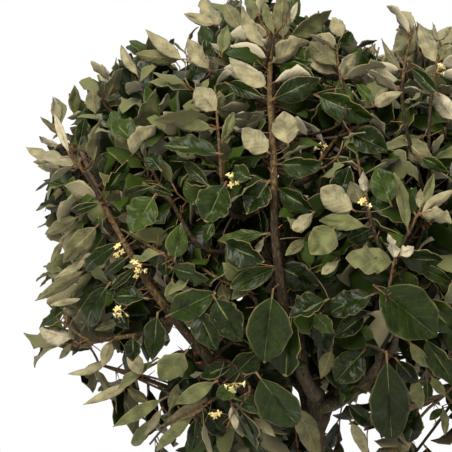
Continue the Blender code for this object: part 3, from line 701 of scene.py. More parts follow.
# Where the sky shows through the head from the front: pixel across and down, half width and height.
SKY_GAPS = (
    (304, 399, 8, 14), (332, 399, 4, 3), (358, 404, 8, 7), (367, 397, 4, 4), (373, 330, 5, 7),
    (370, 289, 6, 5), (340, 353, 7, 5), (400, 366, 6, 4), (415, 379, 4, 6), (411, 394, 4, 8),
    (443, 382, 10, 20), (432, 412, 22, 10), (425, 440, 16, 14), (448, 430, 8, 24), (376, 440, 8, 14),
    (359, 438, 8, 14), (346, 444, 6, 6), (236, 302, 3, 3), (280, 261, 2, 4), (255, 370, 2, 3),
    (441, 336, 3, 5), (90, 356, 15, 8), (116, 371, 8, 13), (42, 398, 34, 30), (84, 418, 28, 26),
    (112, 446, 22, 14), (153, 386, 7, 13), (139, 390, 6, 7), (162, 408, 5, 5), (183, 430, 8, 9),
    (169, 447, 7, 6), (100, 329, 8, 4), (132, 320, 3, 3), (168, 336, 2, 3), (61, 252, 5, 4),
    (40, 232, 8, 10), (22, 260, 12, 18), (67, 228, 4, 3), (182, 60, 4, 5), (303, 34, 4, 5),
    (318, 4, 12, 8), (345, 4, 18, 16), (370, 18, 24, 26), (386, 42, 7, 12), (424, 8, 16, 18),
    (450, 8, 14, 18), (157, 62, 3, 4), (330, 420, 9, 4), (193, 40, 4, 12), (168, 24, 20, 18),
)


def gap_room(places):
    """How far pixel places are from the nearest sky gap, below 1 inside one."""
    gaps = np.array(SKY_GAPS, dtype=float)
    off = (places[:, None, :2] - gaps[None, :, :2]) / gaps[None, :, 2:]
    return np.hypot(off[..., 0], off[..., 1]).min()


def shown_limb(route, share, foot, tip):
    """A shoot through pixels of the front view, as a smooth limb."""
    marks = [on_front(across, down, share) for across, down in route]
    marks = [marks[0] * 2 - marks[1], *marks, marks[-1] * 2 - marks[-2]]
    points = []
    for a, b, c, d in zip(marks, marks[1:], marks[2:], marks[3:]):
        for i in range(4):
            t = i / 4
            bent = b * 2 + (c - a) * t + (a * 2 - b * 5 + c * 4 - d) * t**2
            points.append((bent + (b * 3 - a - c * 3 + d) * t**3) / 2)
    points.append(marks[-2])
    last = len(points) - 1
    return Limb(points, [(foot + (tip - foot) * i / last) / 1000 for i in range(last + 1)])


def smooth(value, low, high):
    """0 below low, 1 above high, and smooth between."""
    t = min(max((value - low) / (high - low), 0.0), 1.0)
    return t * t * (3 - 2 * t)


def shoot_way(way, chance):
    """Where a shoot points: outwards and up, nearly straight up at the top."""
    rise = 0.20 + 0.95 * smooth(way.z, -0.7, 0.35)
    jitter = Vector([chance.gauss(0, 0.16) for _ in range(3)])
    return (way * 0.75 + Vector((0, 0, rise)) + jitter).normalized()


class Shoot:
    """A shoot's line, the way out of the head where it ends, and how many leaves it may bear. Worn
    counts those that found room."""

    def __init__(self, limb, way, leaves, inner=False, shown=False):
        self.limb = limb
        self.way = way
        self.leaves = leaves
        self.inner = inner
        self.shown = shown
        self.worn = 0


def joined_to(limb, holders):
    """The limb, led back from its foot to the nearest point of the wood that carries it."""
    foot = limb.points[0]
    along = (foot - limb.points[1]).normalized()
    spots = [p for holder in holders for p, _ in holder.samples(0.006)]
    hold = min(spots, key=lambda p: (p - foot).length + 0.3 * max(0.0, p.z - foot.z))
    bend = foot + along * (hold - foot).length * LEAD_BOW
    lead = bezier(hold, bend, foot, 6)[:-1]
    return Limb(lead + limb.points, [limb.radii[0]] * len(lead) + limb.radii)


shoots = {name: [] for name in MASSES}
carrying = [*stems.values(), limbs["left"], limbs["leader"]]
for mass, foot, tip, share, route in SHOWN_SHOOTS:
    line = joined_to(shown_limb(route, share, foot, tip), carrying)
    way = (line.points[-1] - HEAD_CENTRE).normalized()
    shoots[mass].append(Shoot(line, way, SHOWN_SHOOT_LEAVES, shown=True))

# The limbs that nothing grows across at the front, as pixels of the front view, depth and radius,
# and all boughs as points and radii.
bare = [limbs[name] for name in ("trunk", "leader", "left", "right")]
bare += [stems["front_upper"], stems["left"]]
bare += [shoot.limb for rows in shoots.values() for shoot in rows]
bare_spots = []
for limb in bare:
    samples = limb.samples(0.005)
    places = front_place(array_of(p for p, _ in samples))
    sizes = [radius / PIXEL + 1.2 for _, radius in samples]
    bare_spots += [(*place, size) for place, size in zip(places, sizes)]
bare_spots = np.array(bare_spots)
limb_spots = np.array([(*p, r) for limb in limbs.values() for p, r in limb.samples(0.008)])


def near_limb(points, spare):
    """True if one of the points lies closer than spare to a bough's skin."""
    off = np.linalg.norm(points[:, None] - limb_spots[None, :, :3], axis=2)
    return bool((off < limb_spots[:, 3] + spare).any())


def crosses_bare(places, behind=0.004):
    """True if a place in the front view lies before a limb that shows."""
    off = np.hypot(places[:, None, 0] - bare_spots[:, 0], places[:, None, 1] - bare_spots[:, 1])
    before = places[:, None, 2] < bare_spots[:, 2] - behind
    return bool(((off < bare_spots[:, 3]) & before).any())


def spread_ways(count, turn):
    """Directions spread evenly over the head by the golden angle."""
    found = []
    for i in range(count):
        height = 1 - 2 * (i + 0.5) / count
        flat = math.sqrt(1 - height * height)
        angle = i * GOLDEN_ANGLE + turn
        found.append(Vector((flat * math.cos(angle), flat * math.sin(angle), height)))
    return found


def sparse(way, chance):
    """True for the shoots that the shaded lower side of the head has lost."""
    shade = smooth(-way.z, 0.1, 0.8)
    left = smooth(-way.x, 0.2, 0.7) * smooth(-way.z, 0.05, 0.3)
    return chance.random() < max(LOST_BELOW * shade, LOST_LEFT * left)


for mass, stem in stems.items():
    way = (stem.points[-1] - HEAD_CENTRE).normalized()
    shoots[mass].append(Shoot(stem, way, STEM_LEAVES, inner=True))
chance = random.Random(29)
for count, inset, turn, leaves in LAYERS:
    for way in spread_ways(count, turn):
        uneven = chance.uniform(*SHOOT_UNEVEN)
        end = HEAD_CENTRE + way * (reach(way) - SHOOT_INSET - inset - uneven)
        mass = nearest_mass(outline_point(way, 0.9))
        feet = [stems[mass].at(share)[0] for share in FORKS]
        foot = min(feet, key=lambda p: (p - end).length + 0.4 * max(0.0, p.z - end.z))
        span = (end - foot).length
        low = inset and end.z < HEAD_CENTRE.z - INNER_FLOOR
        if span < SHORTEST_SHOOT or sparse(way, chance) or low:
            continue
        bend = end - shoot_way(way, chance) * span * SHOOT_BOW
        points = bezier(foot, bend, end, SHOOT_SEGMENTS)
        spots = array_of(points)
        places = front_place(spots[3:])
        if near_limb(spots[2:], SHOOT_ROOM) or crosses_bare(places) or gap_room(places) < 1.0:
            continue
        fall = SHOOT_FOOT_RADIUS - SHOOT_TIP_RADIUS
        steps = range(SHOOT_SEGMENTS + 1)
        line = Limb(points, [SHOOT_FOOT_RADIUS - fall * i / SHOOT_SEGMENTS for i in steps])
        shoots[mass].append(Shoot(line, way, leaves, inner=inset > 0))


class Pile:
    """Vertices, quads, their slots and their UVs, piled up for one joined mesh."""

    def __init__(self):
        self.verts, self.faces, self.slots, self.uvs, self.count = [], [], [], [], 0

    def add(self, verts, faces, slots, uvs):
        self.verts.append(verts)
        self.faces.append(faces + self.count)
        self.slots.append(slots)
        self.uvs.append(uvs)
        self.count += len(verts)

    def object(self, name, materials):
        """One object at the origin from all that was piled up."""
        verts = np.concatenate(self.verts)
        faces = np.concatenate(self.faces)
        mesh = bpy.data.meshes.new(name)
        mesh.vertices.add(len(verts))
        mesh.vertices.foreach_set("co", verts.astype(np.float32).ravel())
        mesh.loops.add(faces.size)
        mesh.loops.foreach_set("vertex_index", faces.astype(np.int32).ravel())
        mesh.polygons.add(len(faces))
        mesh.polygons.foreach_set("loop_start", np.arange(0, faces.size, 4, dtype=np.int32))
        mesh.polygons.foreach_set("material_index", np.concatenate(self.slots).astype(np.int32))
        mesh.polygons.foreach_set("use_smooth", np.ones(len(faces), dtype=bool))
        layer = mesh.uv_layers.new(name="UVMap")
        corners = np.concatenate(self.uvs)[faces.ravel()]
        layer.uv.foreach_set("vector", corners.astype(np.float32).ravel())
        mesh.update(calc_edges=True)
        mesh.validate()
        for material in materials:
            mesh.materials.append(material)
        made = bpy.data.objects.new(name, mesh)
        bpy.context.scene.collection.objects.link(made)
        return made


def ring_quads(rings, sides):
    """Quads between rings of an even number of sides, and then the caps: first and last in turn."""
    walls, caps = [], []
    for i in range(rings - 1):
        for k in range(sides):
            a, b = i * sides + k, i * sides + (k + 1) % sides
            walls.append((a, b, b + sides, a + sides))
    last = (rings - 1) * sides
    for k in range(sides // 2 - 1):
        ring = (k, k + 1, sides - 2 - k, sides - 1 - k)
        caps += [ring[::-1], tuple(last + r for r in ring)]
    return walls, caps


def tube(points, radii, slot, sides=4):
    """A closed tube of quads round a line, as arrays, with an even number of sides."""
    verts, uvs = [], []
    side = (points[1] - points[0]).orthogonal().normalized()
    far = 0.0
    for i, (point, radius) in enumerate(zip(points, radii)):
        before, after = points[max(i - 1, 0)], points[min(i + 1, len(points) - 1)]
        along = (after - before).normalized()
        side = (side - along * side.dot(along)).normalized()
        other = along.cross(side)
        far += (point - before).length
        for k in range(sides):
            angle = math.tau * k / sides
            verts.append(point + (side * math.cos(angle) + other * math.sin(angle)) * radius)
            uvs.append((k / sides, far))
    walls, caps = ring_quads(len(points), sides)
    faces = np.array(walls + caps)
    return array_of(verts), faces, np.full(len(faces), slot), np.array(uvs)


def add_spurs(pile, limb, start, apart, chance):
    """Hard side spurs, 6 to 16 mm long, that stand off a limb at nearly right angles."""
    far = start
    turn = chance.uniform(0, math.tau)
    while far < limb.length() - 0.01:
        point, along, radius = limb.at(far / limb.length())
        turn += LEAF_TURN
        out = Matrix.Rotation(turn, 3, along) @ along.orthogonal().normalized()
        way = (out + along * chance.uniform(0.2, 0.7)).normalized()
        length = chance.uniform(*SPUR_LENGTHS)
        ends = [point, point + way * (radius + length * 0.6), point + way * (radius + length)]
        pile.add(*tube(ends, SPUR_RADII, SPUR))
        far += chance.uniform(*apart)


# Slots of the wood's skins: last year's wood is grey-brown and lightly scurfy, this year's is rusty
# with scales, and the spurs and the newest tips are the reddest.
WEATHERED, LAST_YEAR, RUSTY, SPUR = range(4)
twig_skins = [
    surface("twig_bark_weathered", "#4C3D2B", Roughness=0.80, IOR=1.45)[0],
    surface("twig_skin_last_year", "#58442E", Roughness=0.74, IOR=1.45)[0],
    surface("twig_skin_rusty_scales", "#6A4F33", Roughness=0.70, IOR=1.45)[0],
    surface("spur_skin_red_brown", "#6F472C", Roughness=0.60, IOR=1.45)[0],
]


def young_bark(name, dark, plain, light):
    """Young bark with its scurf and fine furrows, about 2 mm apart, drawn and in relief."""
    skin, tree, shader = surface(name, plain, Roughness=0.78, IOR=1.45, Specular_IOR_Level=0.15)
    place = add_node(tree, "TexCoord", "Object")
    drawn_out = add_node(tree, "Mapping", "Vector", Vector=place, Scale=(1.0, 1.0, 0.4))
    scurf = add_node(
        tree, "TexNoise", "Fac", Vector=drawn_out, Scale=480.0, Detail=6.0, Roughness=0.7
    )
    stops = ((0.34, dark), (0.50, plain), (0.66, light))
    colour = add_node(tree, "ValToRGB", "Color", Fac=scurf, stops=stops)
    tree.links.new(colour, shader.inputs["Base Color"])
    rough = add_node(tree, "Bump", "Normal", Height=scurf, Strength=0.8, Distance=0.0010)
    tree.links.new(rough, shader.inputs["Normal"])
    return skin


# The shoots that show in front are of the same wood, seen close: scurfy brown, and rusty to the tip.
# The first skin is scurfy bark with painted shade: it is made darker for the shade of the leaves over
# it.
shown_bark = [
    young_bark("shoot_bark_scurfy_painted_shade", "#0F0B06", "#20190F", "#443622"),
    young_bark("shoot_tip_rusty", "#20170D", "#41321D", "#685737"),
    young_bark("shoot_skin_rusty", "#2C1F12", "#523D24", "#7A6441"),
    young_bark("shoot_spur_red_brown", "#452817", "#704629", "#8E6540"),
]
shown_wood = Pile()
twig_piles = {name: Pile() for name in MASSES}

# ---------------------------------------------------------------- leaves that show
# Leathery evergreen leaves stand alternately on every shoot: dark glossy green above with a pale
# midrib and rim, silvery buff beneath, wavy at the edge, on a rusty stalk 6 to 8 mm long. Those that
# show at the front are placed one by one.

LEAF_THICK = 0.0005
RIB_DEEP = 0.0008
STALK_WIDTH = 0.00048
# Rows along a leaf, as shares of its length from the stalk's foot to the tip.
SHOWN_ROWS = (
    -0.14, 0.0, 0.04, 0.09, 0.15, 0.22, 0.29, 0.36, 0.43, 0.50, 0.57, 0.64, 0.71, 0.78, 0.85, 0.91,
    0.96, 1.0,
)
OUTER_ROWS = (-0.14, 0.0, 0.07, 0.20, 0.34, 0.48, 0.62, 0.76, 0.90, 1.0)
INNER_ROWS = (-0.12, 0.0, 0.20, 0.50, 0.80, 1.0)
RIB = 0.0
# From this row on the leaf's tip is as pale as its rim.
PALE_TIP = 0.93
# The parts of a leaf, each with a skin of its own.
FACE, MIDRIB, RIM, BACK, STALK, BACK_RIB = range(6)


class Blade:
    """The grid of a leaf: rows from the stalk's foot to the tip, and columns round both its sides,
    left to right above and back to the left beneath. A midrib is a pair of columns marked RIB."""

    def __init__(self, rows, above, beneath):
        self.rows = np.array(rows)[:, None]
        self.columns = np.array(above + beneath)
        self.fine = len(rows) > 14
        count, ring = len(rows), len(self.columns)
        self.under = np.arange(ring) >= len(above)
        self.edge = np.abs(self.columns) == 1.0
        self.rib = self.columns == RIB
        self.sign = np.sign(self.columns)
        for part, signs in ((~self.under, (-1, 1)), (self.under, (1, -1))):
            ribs = np.flatnonzero(part & self.rib)
            if len(ribs) == 2:
                self.sign[ribs] = signs
        kinds = []
        for k in range(ring):
            following = (k + 1) % ring
            ribbed = self.rib[k] and self.rib[following]
            if self.edge[k] and self.edge[following]:
                kinds.append(RIM)
            elif k < len(above) and following < len(above):
                kinds.append(MIDRIB if ribbed else FACE)
            else:
                kinds.append(BACK_RIB if ribbed else BACK)
        faces, parts = [], []
        for row in range(count - 1):
            for k in range(ring):
                a, b = row * ring + k, row * ring + (k + 1) % ring
                quad = (a, a + ring, b + ring, b)
                faces.append(quad if k < len(above) else (*quad[1:], a))
                pale_tip = rows[row] >= PALE_TIP and kinds[k] < BACK
                parts.append(STALK if rows[row] < 0 else RIM if pale_tip else kinds[k])
        caps = ring_quads(count, ring)[1]
        faces += [cap[::-1] for cap in caps]
        parts += [STALK, RIM] * (len(caps) // 2)
        self.faces = np.array(faces)
        self.parts = np.array(parts)
        u = np.broadcast_to(self.columns * 0.5 + 0.5, (count, ring))
        v = np.broadcast_to(self.rows, (count, ring))
        self.uvs = np.stack([u, v], axis=-1).reshape(-1, 2)

    def points(self, form):
        """The blade with its root at the origin, its length along X and its upper side to +Z."""
        v = self.rows
        blade = np.clip(v, 0.0, 1.0)
        low, high = form["belly"], form["point"]
        peak = (low / (low + high)) ** low * (high / (low + high)) ** high
        outline = blade**low * (1 - blade) ** high / peak
        side = form["phase"] + 2.1 * self.sign
        nicks = np.sin(blade * 19 + side * 3) + 0.6 * np.sin(blade * 33 + side * 5)
        outline = outline * (1 + form["lop"] * self.sign) * (1 + form["notch"] * nicks)
        half = form["width"] / 2
        stalk = STALK_WIDTH * (1.0 - 0.62 * blade)
        x = np.maximum(half * outline * np.abs(self.columns), stalk * (1 + np.abs(self.columns)))
        x = np.where(self.rib, stalk * (0.72 if self.fine else 0.6), x)
        x = x + np.where(self.edge & self.under, 0.0004 * np.sqrt(np.abs(outline)), 0.0)
        share = x / half
        x = x * self.sign
        ripple = np.sin(side + form["waves"] * v) + 0.5 * np.sin(2 * side + 1.9 * form["waves"] * v)
        z = form["fold"] * np.abs(x) + form["cup"] * form["width"] * share**2
        z = z + form["ripple"] * form["width"] * share**2 * ripple * np.sqrt(blade)
        z = z + form["buckle"] * form["width"] * np.sin(side * 2 + 7 * v) * blade * (1 - blade) * 4
        deep = RIB_DEEP
        if len(self.columns) == 4:
            deep += 0.3 * max(0.0, form["cup"]) * form["width"]
        thick = np.where(self.rib | (self.sign == 0), deep * (1 - 0.6 * blade), LEAF_THICK)
        z = z - np.where(self.under, thick, 0.0)
        turn = form["twist"] * blade
        across, lift = x * np.cos(turn) - z * np.sin(turn), x * np.sin(turn) + z * np.cos(turn)
        bend = form["curl"] * blade + form["hook"] * blade**4
        angle = 0.5 * form["curl"] * blade + 0.2 * form["hook"] * blade**4
        along = v * form["length"] * np.cos(angle) + lift * np.sin(bend)
        drop = -v * form["length"] * np.sin(angle) + lift * np.cos(bend)
        return np.stack(np.broadcast_arrays(along, across, drop), axis=-1).reshape(-1, 3)


shown_blade = Blade(
    SHOWN_ROWS,
    (-1.0, -0.78, -0.4, RIB, RIB, 0.4, 0.78, 1.0),
    (1.0, 0.78, 0.4, RIB, RIB, -0.4, -0.78, -1.0),
)
outer_blade = Blade(OUTER_ROWS, (-1.0, -0.55, RIB, 0.55, 1.0), (1.0, 0.55, RIB, -0.55, -1.0))
inner_blade = Blade(INNER_ROWS, (-1.0, RIB, 1.0), (RIB,))

# How leaves vary, each trait drawn evenly between two values or round a mean with a spread. The
# outline is widest by belly and point, lopsided and notched; the blade is folded, cupped, rippled in
# waves and buckled, twisted, and curled along its length with a hooked tip.
LEAF_TRAITS = (
    ("belly", "uniform", 0.60, 0.98), ("point", "uniform", 0.70, 1.15),
    ("lop", "uniform", -0.08, 0.08), ("notch", "uniform", 0.012, 0.035),
    ("fold", "gauss", 0.24, 0.18), ("cup", "uniform", -0.24, 0.10),
    ("ripple", "uniform", 0.08, 0.20), ("buckle", "uniform", -0.09, 0.09),
    ("waves", "uniform", 10.0, 17.0), ("phase", "uniform", 0.0, 6.3),
    ("twist", "gauss", 0.0, 0.38), ("curl", "uniform", -0.25, 0.85), ("hook", "uniform", -0.6, 1.1),
)
# Leaves that show are more folded and waved. The side drawn says which way round they buckle.
SHOWN_TRAITS = (
    ("belly", "uniform", 0.62, 0.95), ("point", "uniform", 0.78, 1.15),
    ("notch", "uniform", 0.010, 0.030), ("fold", "uniform", 0.22, 0.62),
    ("ripple", "uniform", 0.08, 0.20), ("waves", "uniform", 13.0, 23.0),
    ("buckle", "uniform", 0.04, 0.09), ("side", "uniform", 0.0, 1.0),
    ("curl", "uniform", -0.2, 0.55), ("hook", "uniform", -0.4, 0.8), ("twist", "gauss", 0.0, 0.28),
)
# A leaf that shows and is broader than this, in mm, lies flatter: its curl and hook are less.
BROAD_LEAF = 28
BROAD_CURL = 0.3


def traits(rows, chance):
    """Draws every trait, in the order of its table."""
    return {name: getattr(chance, kind)(low, high) for name, kind, low, high in rows}


def leaf_form(length, width, chance):
    """One leaf's own size, outline, curl and waves."""
    return {"length": length, "width": width, **traits(LEAF_TRAITS, chance)}


def place_blade(pile, blade, root, along, face, form, slots):
    """Adds a leaf that grows from root."""
    turn = array_of((along, face.cross(along).normalized(), face))
    verts = blade.points(form) @ turn + np.array(root)
    pile.add(verts, blade.faces, np.array(slots)[blade.parts], blade.uvs)


# Leaf skin, grown. Above it is waxed and half glossy, from nearly black green to fresh green, and
# duller with silvery scales on the newest. Beneath it is matt with dense buff or olive scales. The
# side veins, 6 to 7 mm apart, are pressed into both, and the skin between them is leathery.
LEAF_SKINS = (
    ("leaf_face_oldest", "#0D1503", 0.33),
    ("leaf_face_dark", "#131D05", 0.33),
    ("leaf_face_green", "#1B2708", 0.35),
    ("leaf_face_fresh", "#28350F", 0.38),
    ("leaf_face_new_scaly", "#515331", 0.55),
    ("leaf_midrib", "#525A33", 0.50),
    ("leaf_rim", "#6F6340", 0.60),
    ("leaf_back_olive", "#545236", 0.70),
    ("leaf_back_silver", "#7A7458", 0.70),
    ("leaf_back_pale", "#948D76", 0.70),
    ("leaf_back_rib", "#7C6F4C", 0.66),
    ("leaf_stalk", "#5F4A2F", 0.62),
)
VEIN_SLANT = -0.55
VEIN_BEATS = 22.0


def toned(hex_colour, share):
    """A colour made darker or lighter by a share."""
    red, green, blue, _ = linear(hex_colour)
    return (min(red * share, 1.0), min(green * share, 1.0), min(blue * share, 1.0), 1.0)


def leaf_skin(name, colour, roughness, drawn):
    """A leaf's skin with its veins and grain. A drawn one has them in its colour too."""
    scaly = "back_" in name or "scaly" in name
    skin, tree, shader = surface(
        name + ("_veined" if drawn else ""),
        colour,
        Roughness=roughness,
        IOR=1.45,
        Specular_IOR_Level=0.12,
        Sheen_Weight=0.14 if scaly else 0.0,
    )
    place = add_node(tree, "TexCoord", "Object")
    unrolled = add_node(tree, "TexCoord", "UV")
    across = add_node(tree, "SeparateXYZ", "X", Vector=unrolled)
    up = across.node.outputs["Y"]
    off = add_node(tree, "Math", 0, {0: across, 1: 0.5}, operation="SUBTRACT")
    off = add_node(tree, "Math", 0, {0: off}, operation="ABSOLUTE")
    veins = add_node(tree, "Math", 0, {0: off, 1: VEIN_SLANT, 2: up}, operation="MULTIPLY_ADD")
    veins = add_node(tree, "Math", 0, {0: veins, 1: VEIN_BEATS}, operation="MULTIPLY")
    veins = add_node(tree, "Math", 0, {0: veins}, operation="SINE")
    veins = add_node(tree, "Math", 0, {0: veins}, operation="ABSOLUTE")
    depth = 0.24 if drawn else 0.22
    pressed = add_node(tree, "Bump", "Normal", Height=veins, Strength=depth, Distance=0.0008)
    grain = add_node(tree, "TexNoise", "Fac", Vector=place, Scale=420.0)
    leathery = add_node(
        tree, "Bump", "Normal", Height=grain, Strength=0.35, Distance=0.0006, Normal=pressed
    )
    tree.links.new(leathery, shader.inputs["Normal"])
    if not drawn:
        return skin
    drifts = add_node(tree, "TexNoise", "Fac", Vector=place, Scale=95.0, Detail=4.0)
    uneven = add_node(tree, "MapRange", "Result", Value=drifts, From_Min=0.35, From_Max=0.65)
    fine = add_node(
        tree, "MapRange", "Result", Value=veins, From_Max=0.20, To_Min=0.60, To_Max=0.0
    )
    scales = add_node(tree, "TexVoronoi", "Distance", Vector=place, Scale=520.0)
    dots = add_node(
        tree, "MapRange", "Result", Value=scales, From_Min=0.10, From_Max=0.20, To_Min=0.22, To_Max=0.0
    )
    edge = add_node(tree, "MapRange", "Result", Value=off, From_Min=0.455, From_Max=0.50, To_Max=0.25)
    shade = toned(colour, 0.58)
    for share, tone in (
        (uneven, toned(colour, 1.12)),
        (fine, toned(colour, 1.5 if scaly else 2.1)),
        (dots, linear("#6E5F42" if scaly else "#8A8768")),
        (edge, linear("#7E7049")),
    ):
        shade = add_node(tree, "Mix", 2, {0: share, 6: shade, 7: tone}, data_type="RGBA")
    tree.links.new(shade, shader.inputs["Base Color"])
    return skin


leaf_skins = [leaf_skin(*row, drawn=False) for row in LEAF_SKINS]
veined_skins = [leaf_skin(*row, drawn=True) for row in LEAF_SKINS]
# A skin's slot goes by the last word of its name.
SKIN = {name.split("_")[-1]: i for i, (name, _, _) in enumerate(LEAF_SKINS)}
BACKS = ("olive", "silver", "pale")


def skin_slots(face, back, rim):
    """Slots for the parts of a leaf, in their order."""
    return [SKIN[name] for name in (face, "midrib", rim, back, "stalk", "rib")]


# Leaves whose middles lie further apart than this never touch.
LEAF_SPAN = 0.062


class Room:
    """Where leaves already stand, each as a kite of four points, to keep new ones from cutting them."""

    def __init__(self, most):
        self.kites = np.zeros((most, 4, 3))
        self.count = 0

    def kite(self, root, along, face, length, width):
        """A leaf's outline as four points: foot, side, tip and other side."""
        side = face.cross(along).normalized() * width * 0.38
        middle = root + along * length * 0.48
        foot, tip = root + along * length * 0.08, root + along * length * 0.90
        return array_of((foot, middle - side, tip, middle + side))

    def cut(self, new):
        """True if the new kite and one that stands cross."""
        kites = self.kites[: self.count]
        off = np.linalg.norm(kites.mean(axis=1) - new.mean(axis=0), axis=1)
        others = kites[off < LEAF_SPAN]
        if not len(others):
            return False
        mine = np.broadcast_to(new, others.shape)
        return crossing(mine, others) or crossing(others, mine)

    def add(self, new):
        self.kites[self.count] = new
        self.count += 1


def crossing(lines, plates):
    """True if an edge or diagonal of a kite in lines passes through its partner in plates."""
    for a, b in ((0, 1), (1, 2), (2, 3), (3, 0), (0, 2), (1, 3)):
        start, ray = lines[:, a], lines[:, b] - lines[:, a]
        for c in (0, 2):
            corner = plates[:, c]
            one, two = plates[:, 1] - corner, plates[:, 3] - corner
            normal = np.cross(ray, two)
            size = (one * normal).sum(axis=1)
            size = np.where(np.abs(size) < 1e-12, 1e-12, size)
            off = start - corner
            u = (off * normal).sum(axis=1) / size
            turned = np.cross(off, one)
            w = (ray * turned).sum(axis=1) / size
            t = (two * turned).sum(axis=1) / size
            if ((u > 0) & (w > 0) & (u + w < 1) & (t > 0) & (t < 1)).any():
                return True
    return False


def kite_marks(kite):
    """Points spread over a leaf's blade."""
    along, across = kite[2] - kite[0], (kite[3] - kite[1]) * 0.62
    return kite[0] + MARKS[:, :1] * along + MARKS[:, 1:] * across


# Marks over a blade, as shares of its length and of its half width, with one past the tip.
MARK_ROWS = ((0.1, 0.3), (0.3, 0.9), (0.5, 1.0), (0.7, 0.95), (0.9, 0.6))
MARKS = np.array([(a, w * side) for a, w in MARK_ROWS for side in (-0.9, 0.0, 0.9)] + [(1.1, 0.0)])
# The head has room for a few thousand leaves, and for no more than this.
MOST_LEAVES = 9000
room = Room(MOST_LEAVES)
# Leaves that show whole: their middle and long way in the front view, half sizes, and depth.
covers = []


def before_shown(places):
    """True if a place in the front view lies before a leaf that shows whole."""
    if not covers:
        return False
    rows = np.array(covers)
    off = places[:, None, :2] - rows[None, :, :2]
    long = (off * rows[None, :, 2:4]).sum(axis=2) / rows[None, :, 4]
    wide = (off[..., 0] * -rows[None, :, 3] + off[..., 1] * rows[None, :, 2]) / rows[None, :, 5]
    return bool(((np.hypot(long, wide) < 1) & (places[:, None, 2] < rows[None, :, 6])).any())


